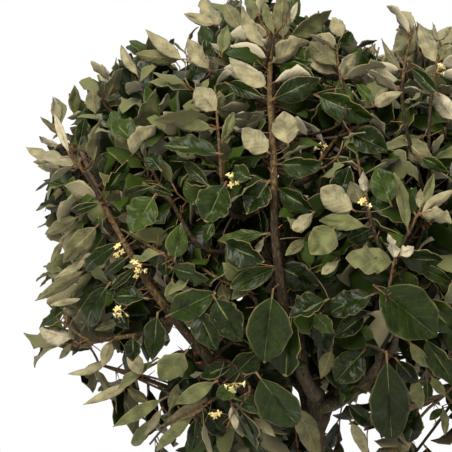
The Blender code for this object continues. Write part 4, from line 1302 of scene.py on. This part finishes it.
# Leaves that show at the front: root and tip as pixels of the front view, width in mm, how far they
# are rolled away in degrees, the hundredths of the outline at the root and the tip, and their skin.
SHOWN_LEAVES = (
    (272, 298, 263, 366, 42, 0, 100, 99, "green"), (292, 316, 284, 378, 34, 20, 95, 97, "dark"),
    (381, 291, 438, 337, 50, 5, 99, 100, "green"), (387, 362, 392, 441, 40, 5, 97, 99, "dark"),
    (396, 270, 412, 303, 27, 15, 102, 103, "fresh"), (391, 262, 348, 254, 27, 15, 100, 102, "scaly"),
    (395, 258, 387, 235, 14, -35, 101, 102, "pale"), (400, 255, 414, 247, 12, -35, 101, 102, "pale"),
    (261, 379, 297, 429, 42, 10, 97, 98, "green"), (362, 353, 335, 382, 30, 10, 92, 95, "dark"),
    (371, 295, 328, 311, 26, 30, 97, 98, "dark"), (325, 301, 289, 318, 26, 30, 97, 99, "dark"),
    (315, 314, 333, 334, 17, 20, 97, 98, "fresh"), (418, 411, 406, 445, 22, 20, 90, 93, "oldest"),
    (333, 229, 311, 254, 27, 10, 100, 101, "scaly"), (226, 243, 260, 263, 27, 25, 98, 100, "dark"),
    (216, 300, 240, 343, 32, 15, 97, 99, "dark"), (426, 300, 456, 336, 34, 20, 98, 99, "green"),
    (175, 257, 181, 223, 21, 15, 100, 100, "fresh"), (159, 254, 118, 262, 19, 35, 99, 100, "scaly"),
    (171, 314, 215, 293, 29, 15, 96, 98, "green"), (199, 312, 216, 351, 27, 20, 97, 99, "dark"),
    (157, 318, 152, 361, 23, 20, 96, 98, "dark"), (184, 354, 160, 380, 28, 10, 98, 100, "scaly"),
    (133, 338, 133, 362, 18, 15, 96, 98, "oldest"), (106, 288, 73, 331, 24, 40, 96, 100, "dark"),
    (64, 311, 36, 327, 22, 25, 94, 100, "green"), (71, 338, 43, 332, 20, 25, 94, 99, "pale"),
    (63, 344, 27, 357, 18, 60, 93, 98, "dark"), (173, 268, 210, 279, 23, 25, 98, 100, "green"),
    (144, 298, 108, 292, 20, 35, 97, 100, "dark"), (76, 167, 26, 149, 24, 55, 90, 100, "silver"),
    (73, 202, 32, 204, 22, 50, 90, 100, "dark"), (94, 160, 99, 118, 25, 30, 93, 97, "olive"),
    (133, 154, 157, 125, 24, 50, 95, 98, "silver"), (131, 141, 113, 117, 23, 15, 97, 98, "fresh"),
    (105, 191, 131, 166, 20, 45, 95, 99, "green"), (153, 198, 130, 233, 33, 10, 98, 100, "fresh"),
    (134, 125, 158, 91, 21, 45, 94, 98, "scaly"), (107, 98, 120, 65, 19, 40, 94, 100, "olive"),
    (216, 110, 196, 88, 23, 10, 97, 100, "silver"), (216, 153, 163, 146, 24, 35, 98, 100, "green"),
    (224, 186, 205, 222, 34, 15, 97, 98, "green"), (275, 98, 320, 78, 23, 20, 99, 100, "dark"),
    (264, 86, 229, 58, 22, 25, 97, 100, "silver"), (288, 143, 284, 112, 25, 10, 100, 102, "silver"),
    (267, 151, 242, 130, 23, 25, 100, 102, "silver"), (352, 209, 319, 190, 24, 10, 100, 102, "silver"),
    (364, 226, 320, 216, 15, 20, 100, 102, "scaly"), (390, 202, 376, 167, 25, 10, 100, 101, "fresh"),
    (407, 226, 397, 170, 13, 30, 100, 101, "scaly"), (362, 202, 348, 182, 15, 20, 100, 101, "olive"),
    (354, 134, 388, 151, 26, 20, 96, 98, "dark"), (320, 97, 369, 121, 25, 25, 97, 99, "green"),
    (273, 62, 306, 39, 26, 25, 97, 99, "silver"), (292, 35, 335, 11, 20, 30, 95, 99, "scaly"),
    (250, 178, 229, 170, 18, 15, 99, 100, "green"), (281, 164, 322, 167, 19, 15, 99, 101, "green"),
    (267, 184, 246, 214, 29, 20, 98, 99, "dark"), (423, 212, 453, 188, 11, 20, 100, 101, "silver"),
    (422, 214, 452, 222, 20, 30, 100, 101, "silver"), (410, 33, 396, 55, 17, 20, 96, 97, "olive"),
    (438, 62, 418, 27, 20, 30, 94, 98, "silver"), (213, 24, 185, 14, 11, 10, 96, 99, "silver"),
    (219, 24, 203, -4, 21, 10, 97, 98, "silver"), (240, 28, 224, 2, 16, 10, 95, 97, "olive"),
    (263, 46, 240, 14, 14, 10, 98, 99, "silver"), (253, 20, 246, -6, 14, 10, 97, 98, "scaly"),
    (273, 32, 263, 4, 9, 10, 98, 99, "scaly"), (283, 36, 279, -4, 18, 10, 96, 97, "olive"),
    (288, 26, 296, 5, 7, 10, 97, 98, "pale"), (341, 36, 333, 18, 15, 10, 95, 97, "silver"),
    (336, 64, 310, 43, 19, 10, 95, 97, "olive"), (335, 73, 308, 60, 12, 10, 97, 98, "silver"),
    (338, 46, 355, 33, 13, 10, 95, 97, "green"), (341, 78, 356, 52, 18, 10, 97, 98, "silver"),
    (399, 68, 380, 42, 8, 10, 96, 98, "olive"), (403, 58, 397, 32, 13, 10, 96, 97, "scaly"),
    (405, 58, 415, 40, 10, 10, 96, 97, "olive"), (437, 54, 418, 25, 14, 10, 96, 98, "silver"),
    (440, 60, 451, 43, 13, 10, 96, 97, "olive"), (444, 38, 449, 27, 5, 10, 96, 97, "pale"),
    (372, 103, 357, 79, 10, 10, 98, 99, "fresh"), (375, 105, 399, 93, 12, 10, 98, 99, "silver"),
    (374, 103, 388, 87, 7, 10, 98, 99, "silver"), (436, 92, 409, 64, 13, 10, 98, 99, "dark"),
    (453, 119, 432, 90, 18, 10, 98, 99, "pale"), (229, 84, 263, 98, 14, 10, 96, 97, "dark"),
    (222, 52, 227, 26, 13, 10, 97, 98, "scaly"), (206, 56, 207, 36, 10, 10, 95, 96, "dark"),
    (208, 68, 188, 43, 18, 10, 96, 97, "silver"), (216, 72, 205, 58, 15, 10, 98, 99, "silver"),
    (181, 59, 146, 31, 14, 10, 95, 98, "silver"), (179, 59, 141, 56, 15, 10, 95, 97, "olive"),
    (137, 74, 121, 48, 10, 10, 95, 98, "silver"), (74, 113, 75, 85, 13, 10, 94, 97, "scaly"),
    (95, 113, 92, 84, 16, 10, 94, 97, "olive"), (79, 120, 62, 98, 7, 10, 95, 98, "silver"),
    (60, 134, 38, 118, 8, 10, 93, 98, "olive"), (68, 151, 55, 115, 8, 10, 97, 99, "pale"),
    (61, 136, 52, 115, 11, 10, 93, 96, "fresh"), (79, 146, 85, 118, 13, 10, 95, 97, "dark"),
    (89, 151, 101, 120, 14, 10, 96, 98, "olive"), (210, 128, 163, 119, 12, 10, 97, 98, "scaly"),
    (222, 140, 236, 112, 10, 10, 97, 98, "scaly"), (60, 146, 35, 138, 7, 10, 92, 97, "pale"),
    (128, 352, 144, 376, 15, 10, 92, 95, "silver"), (152, 362, 112, 392, 11, 20, 94, 97, "scaly"),
    (126, 386, 86, 404, 10, 20, 93, 97, "silver"), (148, 402, 128, 389, 10, 10, 92, 95, "olive"),
    (109, 394, 97, 366, 7, 10, 92, 95, "olive"), (105, 362, 72, 376, 11, 10, 90, 95, "silver"),
    (111, 342, 103, 366, 12, 10, 92, 95, "silver"), (161, 400, 113, 427, 13, 20, 93, 97, "scaly"),
    (161, 410, 147, 433, 8, 10, 92, 95, "silver"), (151, 420, 128, 451, 12, 10, 92, 95, "scaly"),
    (191, 418, 148, 453, 12, 20, 93, 97, "scaly"), (213, 383, 178, 403, 15, 20, 97, 99, "scaly"),
    (209, 399, 165, 426, 14, 20, 95, 98, "silver"), (170, 409, 178, 384, 11, 10, 92, 95, "olive"),
    (237, 387, 215, 397, 16, 10, 97, 99, "fresh"), (231, 366, 199, 376, 17, 10, 93, 96, "dark"),
    (228, 379, 262, 350, 24, 10, 93, 95, "green"), (236, 399, 271, 411, 16, 10, 95, 97, "green"),
    (232, 407, 236, 431, 9, 10, 96, 98, "pale"), (205, 410, 226, 439, 22, 10, 90, 93, "oldest"),
    (196, 420, 192, 453, 16, 10, 88, 92, "dark"), (254, 418, 277, 436, 10, 10, 93, 96, "silver"),
    (71, 344, 62, 358, 7, 10, 93, 96, "silver"), (366, 193, 361, 171, 8, 10, 99, 100, "pale"),
    (421, 209, 419, 188, 8, 10, 99, 100, "silver"), (422, 209, 435, 172, 9, 10, 98, 99, "scaly"),
    (424, 217, 440, 217, 6, 10, 100, 100, "fresh"), (402, 257, 446, 263, 24, 10, 97, 99, "dark"),
    (419, 267, 456, 284, 13, 10, 96, 98, "green"), (394, 277, 402, 301, 12, 10, 97, 98, "pale"),
    (338, 261, 321, 276, 9, 10, 97, 99, "silver"), (373, 228, 347, 241, 18, 10, 94, 96, "dark"),
    (338, 199, 350, 166, 23, 10, 94, 96, "dark"), (418, 137, 378, 152, 12, 10, 98, 99, "scaly"),
    (423, 158, 450, 171, 12, 10, 96, 98, "green"), (406, 140, 436, 170, 21, 10, 95, 97, "olive"),
    (363, 317, 334, 336, 19, 10, 93, 96, "dark"), (321, 318, 324, 358, 23, 10, 92, 94, "oldest"),
    (427, 341, 456, 386, 23, 10, 95, 98, "green"), (411, 344, 431, 373, 12, 10, 94, 97, "scaly"),
    (398, 361, 418, 385, 17, 10, 91, 94, "oldest"), (414, 380, 424, 416, 13, 10, 92, 95, "scaly"),
    (427, 381, 428, 401, 9, 10, 90, 93, "green"), (432, 378, 446, 397, 9, 10, 91, 94, "scaly"),
    (443, 409, 446, 434, 9, 10, 88, 92, "olive"), (442, 409, 430, 418, 8, 10, 88, 92, "fresh"),
    (353, 387, 341, 402, 13, 10, 86, 90, "green"), (350, 405, 376, 429, 15, 10, 86, 90, "dark"),
    (352, 424, 369, 454, 12, 10, 86, 90, "silver"), (298, 410, 320, 454, 21, 10, 84, 88, "olive"),
    (331, 352, 321, 379, 14, 10, 88, 91, "olive"), (373, 379, 352, 395, 11, 10, 86, 90, "olive"),
    (66, 158, 47, 146, 7, 10, 91, 95, "dark"), (61, 170, 38, 166, 9, 10, 90, 95, "pale"),
    (82, 173, 46, 170, 9, 10, 93, 97, "green"), (64, 185, 43, 180, 7, 10, 91, 96, "fresh"),
    (98, 204, 63, 214, 10, 10, 95, 98, "dark"), (76, 218, 44, 235, 14, 10, 92, 97, "olive"),
    (95, 228, 66, 257, 21, 10, 94, 97, "olive"), (118, 244, 71, 272, 17, 10, 97, 99, "dark"),
    (62, 242, 50, 266, 7, 10, 91, 95, "olive"), (84, 261, 57, 278, 9, 10, 94, 97, "silver"),
    (82, 272, 36, 300, 13, 10, 92, 97, "olive"), (82, 299, 52, 305, 6, 10, 92, 96, "silver"),
    (151, 187, 119, 197, 11, 10, 97, 98, "dark"), (146, 184, 169, 196, 9, 10, 96, 97, "dark"),
    (160, 169, 145, 150, 18, 10, 94, 96, "dark"), (208, 185, 180, 158, 12, 10, 97, 98, "dark"),
    (263, 234, 213, 240, 13, 10, 99, 100, "fresh"), (213, 222, 201, 242, 13, 10, 97, 98, "green"),
    (133, 270, 108, 291, 8, 10, 97, 98, "dark"), (126, 258, 100, 279, 10, 10, 96, 98, "dark"),
    (172, 281, 171, 304, 13, 10, 96, 97, "scaly"), (166, 259, 165, 276, 14, 10, 95, 96, "dark"),
    (118, 311, 128, 329, 16, 10, 93, 95, "oldest"), (119, 321, 95, 330, 9, 10, 91, 94, "olive"),
    (263, 240, 253, 258, 7, 10, 98, 99, "silver"), (275, 268, 230, 288, 19, 10, 94, 96, "green"),
    (252, 280, 231, 300, 13, 10, 97, 98, "scaly"), (222, 284, 226, 305, 13, 10, 94, 96, "olive"),
    (312, 214, 291, 234, 13, 10, 98, 99, "silver"), (279, 189, 310, 212, 20, 10, 96, 97, "dark"),
    (304, 240, 285, 256, 10, 10, 95, 97, "olive"), (281, 268, 319, 287, 28, 10, 93, 95, "oldest"),
)
SHOWN_SINK = 0.03
# Where a leaf finds no room at its place, it is set deeper by these shares of the outline.
SINKS = (0.0, 0.02, 0.04, 0.06, 0.085, 0.11)
# A leaf's tip lies no further before or behind its root than this share of its length.
MOST_SLOPE = 0.5
LEAD_RADIUS = 0.0006
# A shoot with fewer leaves than this is bare, and isn't grown.
LEAST_WORN = 4
# Half sizes of a leaf's middle that nothing else hides, as a share of its length and width.
CLEAR_PART = 0.44

chance = random.Random(37)
shown_leaves = Pile()
carriers = [
    (tuple(spot), mass, shoot)
    for mass, rows in shoots.items()
    for shoot in rows
    for spot, _ in shoot.limb.samples(0.006)
]
carrier_spots = np.array([row[0] for row in carriers])


def lead_to(spot, along):
    """A short twig from the nearest wood to a leaf's stalk or a cluster's foot; its shoot is kept."""
    off = np.linalg.norm(carrier_spots - np.array(spot), axis=1)
    held, mass, shoot = carriers[int(off.argmin())]
    shoot.worn = max(shoot.worn, LEAST_WORN)
    hold = Vector(held)
    span = (hold - spot).length
    if span < 0.003:
        return
    bend = (hold + spot) / 2 - along * min(span * 0.15, 0.004)
    lead = bezier(hold, bend, spot + along * 0.001, 6)
    twig_piles[mass].add(*tube(lead, [LEAD_RADIUS * (1.3 - 0.1 * i) for i in range(7)], WEATHERED))


for across, down, tip_across, tip_down, width_mm, roll, deep, tip_deep, skin in SHOWN_LEAVES:
    turn = math.radians(roll + chance.uniform(-18, 18))
    width = width_mm / 1000
    back = skin in BACKS
    for sink in SINKS:
        root = on_front(across, down, deep / 100 - SHOWN_SINK - sink)
        tip = on_front(tip_across, tip_down, tip_deep / 100 - SHOWN_SINK - sink * 0.9)
        most = MOST_SLOPE * PIXEL * math.hypot(tip_across - across, tip_down - down)
        tip = front_point(tip_across, tip_down, root.y + max(-most, min(most, tip.y - root.y)))
        along = (tip - root).normalized()
        length = (tip - root).length
        to_view = (VIEW_FROM - root).normalized()
        face = (to_view - along * to_view.dot(along)).normalized()
        face = Matrix.Rotation(turn, 3, along) @ face
        if back:
            face = -face
        kite = room.kite(root, along, face, length, width)
        if not room.cut(kite) and not before_shown(front_place(kite_marks(kite))):
            break
    else:
        continue
    rim = "rim" if chance.random() < 0.5 else skin
    slots = skin_slots("green", skin, rim) if back else skin_slots(skin, "silver", rim)
    form = leaf_form(length, width, chance)
    form.update(traits(SHOWN_TRAITS, chance))
    if form["side"] >= 0.5:
        form["buckle"] *= -1
    if width_mm > BROAD_LEAF:
        form["curl"] *= BROAD_CURL
        form["hook"] *= BROAD_CURL
    lead_to(root - along * length * 0.13, along)
    place_blade(shown_leaves, shown_blade, root, along, face, form, slots)
    room.add(kite)
    ends = front_place((root, tip))
    middle, span = ends.mean(axis=0), ends[1, :2] - ends[0, :2]
    size = np.hypot(*span)
    seen = width / PIXEL * math.cos(turn)
    half_sizes = (size * CLEAR_PART, seen * CLEAR_PART)
    covers.append((*middle[:2], *(span / size), *half_sizes, middle[2] + 0.003))

hand_over(shown_leaves.object("leaves_shown", veined_skins))

# ---------------------------------------------------------------- blossom that shows
# Small creamy flowers sit in clusters of four to seven in the leaf axils, with a bud or two. Each
# is a scaly tube 5 mm long on a short stalk, and opens to four blunt lobes 5 to 7 mm across.

FLOWER_SIDES = 12
PETAL_TURN = math.radians(15)
CLUSTER_SPREAD = 0.55
FLOWER_STALK = (0.0005, 0.0004, 0.0004)
FLOWER_SIZES = (0.70, 1.0)
# Rings of a flower and of a bud, from the foot up: radius, height, and whether it has lobes.
FLOWER_RINGS = (
    (0.0004, 0.0000, 0), (0.0010, 0.0012, 0), (0.0008, 0.0022, 0), (0.0013, 0.0046, 0),
    (0.0036, 0.0062, 1), (0.0035, 0.0066, 1), (0.0008, 0.0054, 0),
)
BUD_RINGS = (
    (0.0004, 0.0000, 0), (0.0010, 0.0012, 0), (0.0008, 0.0022, 0), (0.0014, 0.0045, 0),
    (0.0003, 0.0064, 0),
)
# Clusters that show at the front, as pixels of the front view and a share of the head's outline.
SHOWN_BLOSSOM = (
    (233, 183, 1.00), (137, 269, 1.00), (122, 310, 1.00), (234, 383, 1.00), (218, 412, 0.98),
    (362, 205, 1.01), (120, 250, 1.00),
)
TUBE, PETAL, THROAT = range(3)
# The skin between each ring and the next, and the one of the last ring's cap.
FLOWER_PARTS = (TUBE, TUBE, TUBE, PETAL, PETAL, THROAT, THROAT)
BUD_PARTS = (TUBE, TUBE, TUBE, TUBE, THROAT)


def flower(rings, parts, turn):
    """A closed flower or bud that stands on the origin along Z, as arrays."""
    angles = turn + PETAL_TURN + np.arange(FLOWER_SIDES) * math.tau / FLOWER_SIDES
    petals = 0.34 + 0.66 * np.abs(np.cos(2 * (angles - turn))) ** 0.7
    verts = []
    for radius, height, lobed in rings:
        wide = radius * (petals if lobed else np.ones(FLOWER_SIDES))
        ring = [wide * np.cos(angles), wide * np.sin(angles), wide * 0 + height]
        verts.append(np.stack(ring, axis=1))
    walls, caps = ring_quads(len(rings), FLOWER_SIDES)
    slots = [part for part in parts[:-1] for _ in range(FLOWER_SIDES)]
    slots += [TUBE, parts[-1]] * (len(caps) // 2)
    verts = np.concatenate(verts)
    return verts, np.array(walls + caps), np.array(slots), verts[:, :2] * 100


def add_cluster(pile, spot, out, chance):
    """Flowers and buds that fan out from one axil."""
    for i in range(chance.randint(5, 9)):
        jitter = Vector([chance.gauss(0, CLUSTER_SPREAD) for _ in range(3)])
        way = (out + jitter).normalized()
        foot = spot + way * chance.uniform(0.003, 0.006)
        pile.add(*tube([spot, (spot + foot) / 2, foot], FLOWER_STALK, TUBE))
        bud = i % 4 == 3
        rings, parts = (BUD_RINGS, BUD_PARTS) if bud else (FLOWER_RINGS, FLOWER_PARTS)
        verts, faces, slots, uvs = flower(rings, parts, chance.uniform(0, 1.5))
        side = way.orthogonal().normalized()
        stand = array_of((side, way.cross(side), way))
        verts = verts * chance.uniform(*FLOWER_SIZES) @ stand + np.array(spot + way * 0.0045)
        pile.add(verts, faces, slots, uvs)


def cluster_kites(spot, out):
    """Two crossed kites that keep leaves off a cluster."""
    side = out.orthogonal().normalized()
    foot = spot - out * 0.002
    return [room.kite(foot, out, turned, 0.013, 0.016) for turned in (side, out.cross(side))]


# Petals: thin and waxy, warm cream inside, and silvery cream with brown scales outside.
petal_skins = [
    surface("blossom_tube_scaly", "#968858", Roughness=0.65, IOR=1.4)[0],
    surface("blossom_petal_cream", "#D2C89B", Roughness=0.50, IOR=1.4)[0],
    surface("blossom_throat_yellow", "#B7A464", Roughness=0.55, IOR=1.4)[0],
]
blossom = Pile()
chance = random.Random(43)
for across, down, share in SHOWN_BLOSSOM:
    spot = on_front(across, down, share - SHOWN_SINK)
    out = (spot - HEAD_CENTRE).normalized() + (VIEW_FROM - spot).normalized() * 0.8
    out.normalize()
    lead_to(spot, out)
    add_cluster(blossom, spot, out, chance)
    for kite in cluster_kites(spot, out):
        room.add(kite)
    place = front_place([spot + out * 0.008])[0]
    covers.append((*place[:2], 1.0, 0.0, 8.5, 8.5, place[2] + 0.006))

# ---------------------------------------------------------------- leaves of each mass
# The same leaves on the shoots that follow the growth rule. Young ones stand up silvery round the
# tip, and older ones hang, darker each year, with their faces turned out to the light.

LEAF_LENGTH = 0.049
LEAF_SHAPE = 0.54
# Sizes of a leaf by chance, and how much slimmer or broader it is.
LEAF_SIZES = (0.84, 1.22)
LEAF_SHAPES = (0.86, 1.18)
# At the top of the head leaves are shorter and slimmer by this share.
CROWN_LESS = 0.16
# Ages are shares of a leaf's way from new to full grown.
NEW_LEAF = 0.25
YOUNG_LEAF = 0.50
# Leaves stand a little further apart along the shoot with each one from the tip.
LEAVES_APART = (0.005, 0.009)
APART_MORE = 0.0014
# Where a leaf finds no room, it is turned round its shoot by these angles, in radians.
OTHER_TURNS = (0.0, 0.8, -0.9, 1.9, -2.0)
LEAF_ROOM = 0.005


def leaf_slots(age, crown, chance):
    """Slots for a leaf by its age and how high it stands: silvery when new, and darker each year."""
    pick = chance.random()
    if age < NEW_LEAF:
        face = "scaly" if pick < 0.4 + 0.4 * crown else "fresh"
    elif age < YOUNG_LEAF:
        face = ("green", "fresh", "scaly")[(pick > 0.7 - 0.3 * crown) + (pick > 0.92 - 0.3 * crown)]
    else:
        pick += 0.30 * crown
        face = ("oldest", "dark", "green", "fresh")[(pick > 0.35) + (pick > 0.75) + (pick > 1.05)]
    rim = "rim" if chance.random() < 0.5 else face
    shade = chance.random() + 0.35 * crown
    return skin_slots(face, BACKS[(shade > 0.45) + (shade > 0.95)], rim)


def leaf_pose(heading, turn, spread, way, age, chance):
    """A leaf's length and upper-side directions. Young leaves stand up round the tip and show their
    backs; older ones turn their faces outwards to the light and hang."""
    around = Matrix.Rotation(turn, 3, heading) @ heading.orthogonal().normalized()
    along = heading * math.cos(spread) + around * math.sin(spread)
    face = heading * math.sin(spread) - around * math.cos(spread)
    crown = smooth(way.z, 0.10, 0.80)
    settle = (1 - crown) * (0.30 + 0.70 * age)
    face = face + (way * 0.80 + Vector((0, -0.40, 0.45))) * settle
    along = along - Vector((0, 0, 0.70)) * settle + way * 0.15 * settle
    along.normalize()
    face = (face - along * face.dot(along)).normalized()
    return along, Matrix.Rotation(chance.gauss(0, 0.28), 3, along) @ face


def fits(kite, mass):
    """True if a leaf keeps to the head, its mass, the sky gaps and the limbs, and cuts no other."""
    for corner in kite[1:]:
        out = Vector(corner) - HEAD_CENTRE
        if out.length > reach(out.normalized()) * 1.01:
            return False
    own = np.linalg.norm(kite[2] - np.array(middles[mass]))
    if any(np.linalg.norm(kite[2] - np.array(m)) < own - 0.030 for m in middles.values()):
        return False
    marks = kite_marks(kite)
    if near_limb(marks, LEAF_ROOM):
        return False
    places = front_place(marks)
    if gap_room(places) < 0.9 or crosses_bare(places) or before_shown(places):
        return False
    return not room.cut(kite)


for mass in MASSES:
    pile = Pile()
    chance = random.Random(f"foliage_{mass} leaves")
    for shoot in sorted(shoots[mass], key=lambda s: not s.shown):
        turn = chance.uniform(0, math.tau)
        line = shoot.limb
        whole = line.length()
        crown = smooth(shoot.way.z, 0.25, 0.75)
        blade = inner_blade if shoot.inner else outer_blade
        back = 0.001
        for i in range(shoot.leaves):
            if back > whole - 0.01:
                break
            point, heading, radius = line.at(1 - back / whole)
            age = 1.0 if shoot.inner else min(i / 5.0, 1.0)
            turn += math.radians(180 + chance.uniform(-25, 25)) if shoot.inner else LEAF_TURN
            size = (0.55 + 0.45 * min(i / 3.5, 1.0)) * chance.uniform(*LEAF_SIZES)
            length = LEAF_LENGTH * size * (1.06 - CROWN_LESS * crown)
            shape = LEAF_SHAPE * (1 - CROWN_LESS * crown) * chance.uniform(*LEAF_SHAPES)
            form = leaf_form(length, length * shape, chance)
            slots = leaf_slots(age, crown, chance)
            for step in OTHER_TURNS:
                spread = math.radians(26 + 9 * min(i, 4) + chance.gauss(0, 6))
                along, face = leaf_pose(heading, turn + step, spread, shoot.way, age, chance)
                root = point + along * (radius * 0.5 + 0.14 * length)
                kite = room.kite(root, along, face, length, form["width"])
                if fits(kite, mass):
                    room.add(kite)
                    place_blade(pile, blade, root, along, face, form, slots)
                    shoot.worn += 1
                    break
            back += chance.uniform(*LEAVES_APART) + APART_MORE * i
    hand_over(pile.object(f"leaves_{mass}", leaf_skins), [f"foliage_{mass}"])

# ---------------------------------------------------------------- blossom among the leaves
# More of the same clusters open in the axils of leafy shoots all round the head, where they find
# room between the leaves.

OTHER_BLOSSOM = 18
BLOSSOM_ROOM = 1.2

chance = random.Random(47)
axils = [s for rows in shoots.values() for s in rows if not s.inner and s.worn > LEAST_WORN]
opened = 0
for shoot in chance.sample(axils, 3 * OTHER_BLOSSOM):
    spot, heading, radius = shoot.limb.at(chance.uniform(0.55, 0.85))
    around = Matrix.Rotation(chance.uniform(0, math.tau), 3, heading)
    side = around @ heading.orthogonal().normalized()
    out = (side + shoot.way * 0.8 + heading * 0.3).normalized()
    kites = cluster_kites(spot + out * radius, out)
    places = front_place([spot])
    cut = any(room.cut(kite) for kite in kites)
    if cut or gap_room(places) < BLOSSOM_ROOM or crosses_bare(places):
        continue
    add_cluster(blossom, spot + out * radius, out, chance)
    for kite in kites:
        room.add(kite)
    opened += 1
    if opened == OTHER_BLOSSOM:
        break
hand_over(blossom.object("blossom_clusters", petal_skins))

# ---------------------------------------------------------------- wood under the leaves
# Each mass's stem, the shoots that kept their leaves, in two lengths from last year's wood to this
# year's, and their spurs. The shoots that show are a piece of their own.

LEAD_SPURS = (0.008, 0.020)
STEM_SPURS = (0.008, 0.024)
SHOOT_SPURS = (0.03, 0.07)
SHOWN_SPURS = (0.016, 0.04)

chance = random.Random(31)
for bough, mass in (("leader", "front_upper"), ("left", "left")):
    add_spurs(twig_piles[mass], limbs[bough], 0.06, LEAD_SPURS, chance)
for mass, stem in stems.items():
    pile = twig_piles[mass]
    pile.add(*tube(stem.points, stem.radii, WEATHERED, 8))
    add_spurs(pile, stem, 0.02, STEM_SPURS, chance)
    for shoot in shoots[mass]:
        if (shoot.worn < LEAST_WORN and not shoot.shown) or shoot.limb is stem:
            continue
        line = shoot.limb
        wood, sides, first, then, apart = pile, 4, LAST_YEAR, RUSTY, SHOOT_SPURS
        if shoot.shown:
            # A shoot that shows takes the painted-shade skin on its lower half, which lies in the
            # leaves' shade.
            wood, sides, first, then, apart = shown_wood, 8, WEATHERED, LAST_YEAR, SHOWN_SPURS
        half = len(line.points) // 2
        wood.add(*tube(line.points[: half + 1], line.radii[: half + 1], first, sides))
        wood.add(*tube(line.points[half:], line.radii[half:], then, sides))
        if not shoot.inner:
            add_spurs(wood, line, 0.02, apart, chance)

hand_over(shown_wood.object("shoots_shown", shown_bark))
for mass, pile in twig_piles.items():
    hand_over(pile.object(f"twigs_{mass}", twig_skins), [f"foliage_{mass}"])

# ---------------------------------------------------------------- studio
# A plain pale floor under soft white light from all round, with one broad light from the upper
# left and a weak one from the right. The camera looks level at the head's left half, 2 m in front.

FLOOR_RADIUS = 9.0
# The sky lights the plant from above, a little more warmly than the white that the camera sees.
SKY_BELOW = 0.14
SKY_ABOVE = 1.25
SKY_TINT = (1.0, 0.97, 0.90, 1.0)
WHITE = (1.0, 1.0, 1.0, 1.0)
LAMP_TINT = (1.0, 0.965, 0.90)
# Each lamp: its name, its place, its width and its power.
LAMPS = (
    ("broad_light", (-1.7, -2.9, 4.2), 2.2, 345.0),
    ("fill_light", (0.8, -3.4, 2.0), 2.4, 50.0),
)
SENSOR_WIDTH = 36.0
LENS = 144.8

bpy.ops.object.select_all(action="DESELECT")
bpy.ops.mesh.primitive_circle_add(
    vertices=128, radius=FLOOR_RADIUS, fill_type="NGON", location=(0, 0, 0)
)
floor = bpy.context.object
floor.name = "studio_floor"
paint, _, _ = surface("studio_floor_paint", "#E6E6E3", Roughness=0.9)
floor.data.materials.append(paint)

world = bpy.data.worlds.new("studio_white")
bpy.context.scene.world = world
world.use_nodes = True
tree = world.node_tree
glow = tree.nodes["Background"]
up = add_node(tree, "TexCoord", "Generated")
height = add_node(tree, "SeparateXYZ", "Z", Vector=up)
overhead = add_node(
    tree, "MapRange", "Result", Value=height, From_Min=-0.1, To_Min=SKY_BELOW, To_Max=SKY_ABOVE
)
direct = add_node(tree, "LightPath", "Is Camera Ray")
strength = add_node(tree, "Mix", 0, {0: direct, 2: overhead, 3: 1.0}, data_type="FLOAT")
tree.links.new(strength, glow.inputs["Strength"])
tint = add_node(tree, "Mix", 2, {0: direct, 6: SKY_TINT, 7: WHITE}, data_type="RGBA")
tree.links.new(tint, glow.inputs["Color"])

for name, spot, size, power in LAMPS:
    bpy.ops.object.light_add(type="AREA", location=spot)
    lamp = bpy.context.object
    lamp.name = name
    lamp.data.size = size
    lamp.data.energy = power
    lamp.data.color = LAMP_TINT
    lamp.visible_camera = False
    lamp.rotation_euler = (HEAD_CENTRE - Vector(spot)).to_track_quat("-Z", "Y").to_euler()

bpy.context.scene.view_settings.view_transform = "Standard"
bpy.ops.object.camera_add(location=VIEW_FROM, rotation=(math.radians(90), 0, 0))
camera = bpy.context.object
camera.data.sensor_width = SENSOR_WIDTH
camera.data.lens = LENS
bpy.context.scene.camera = camera
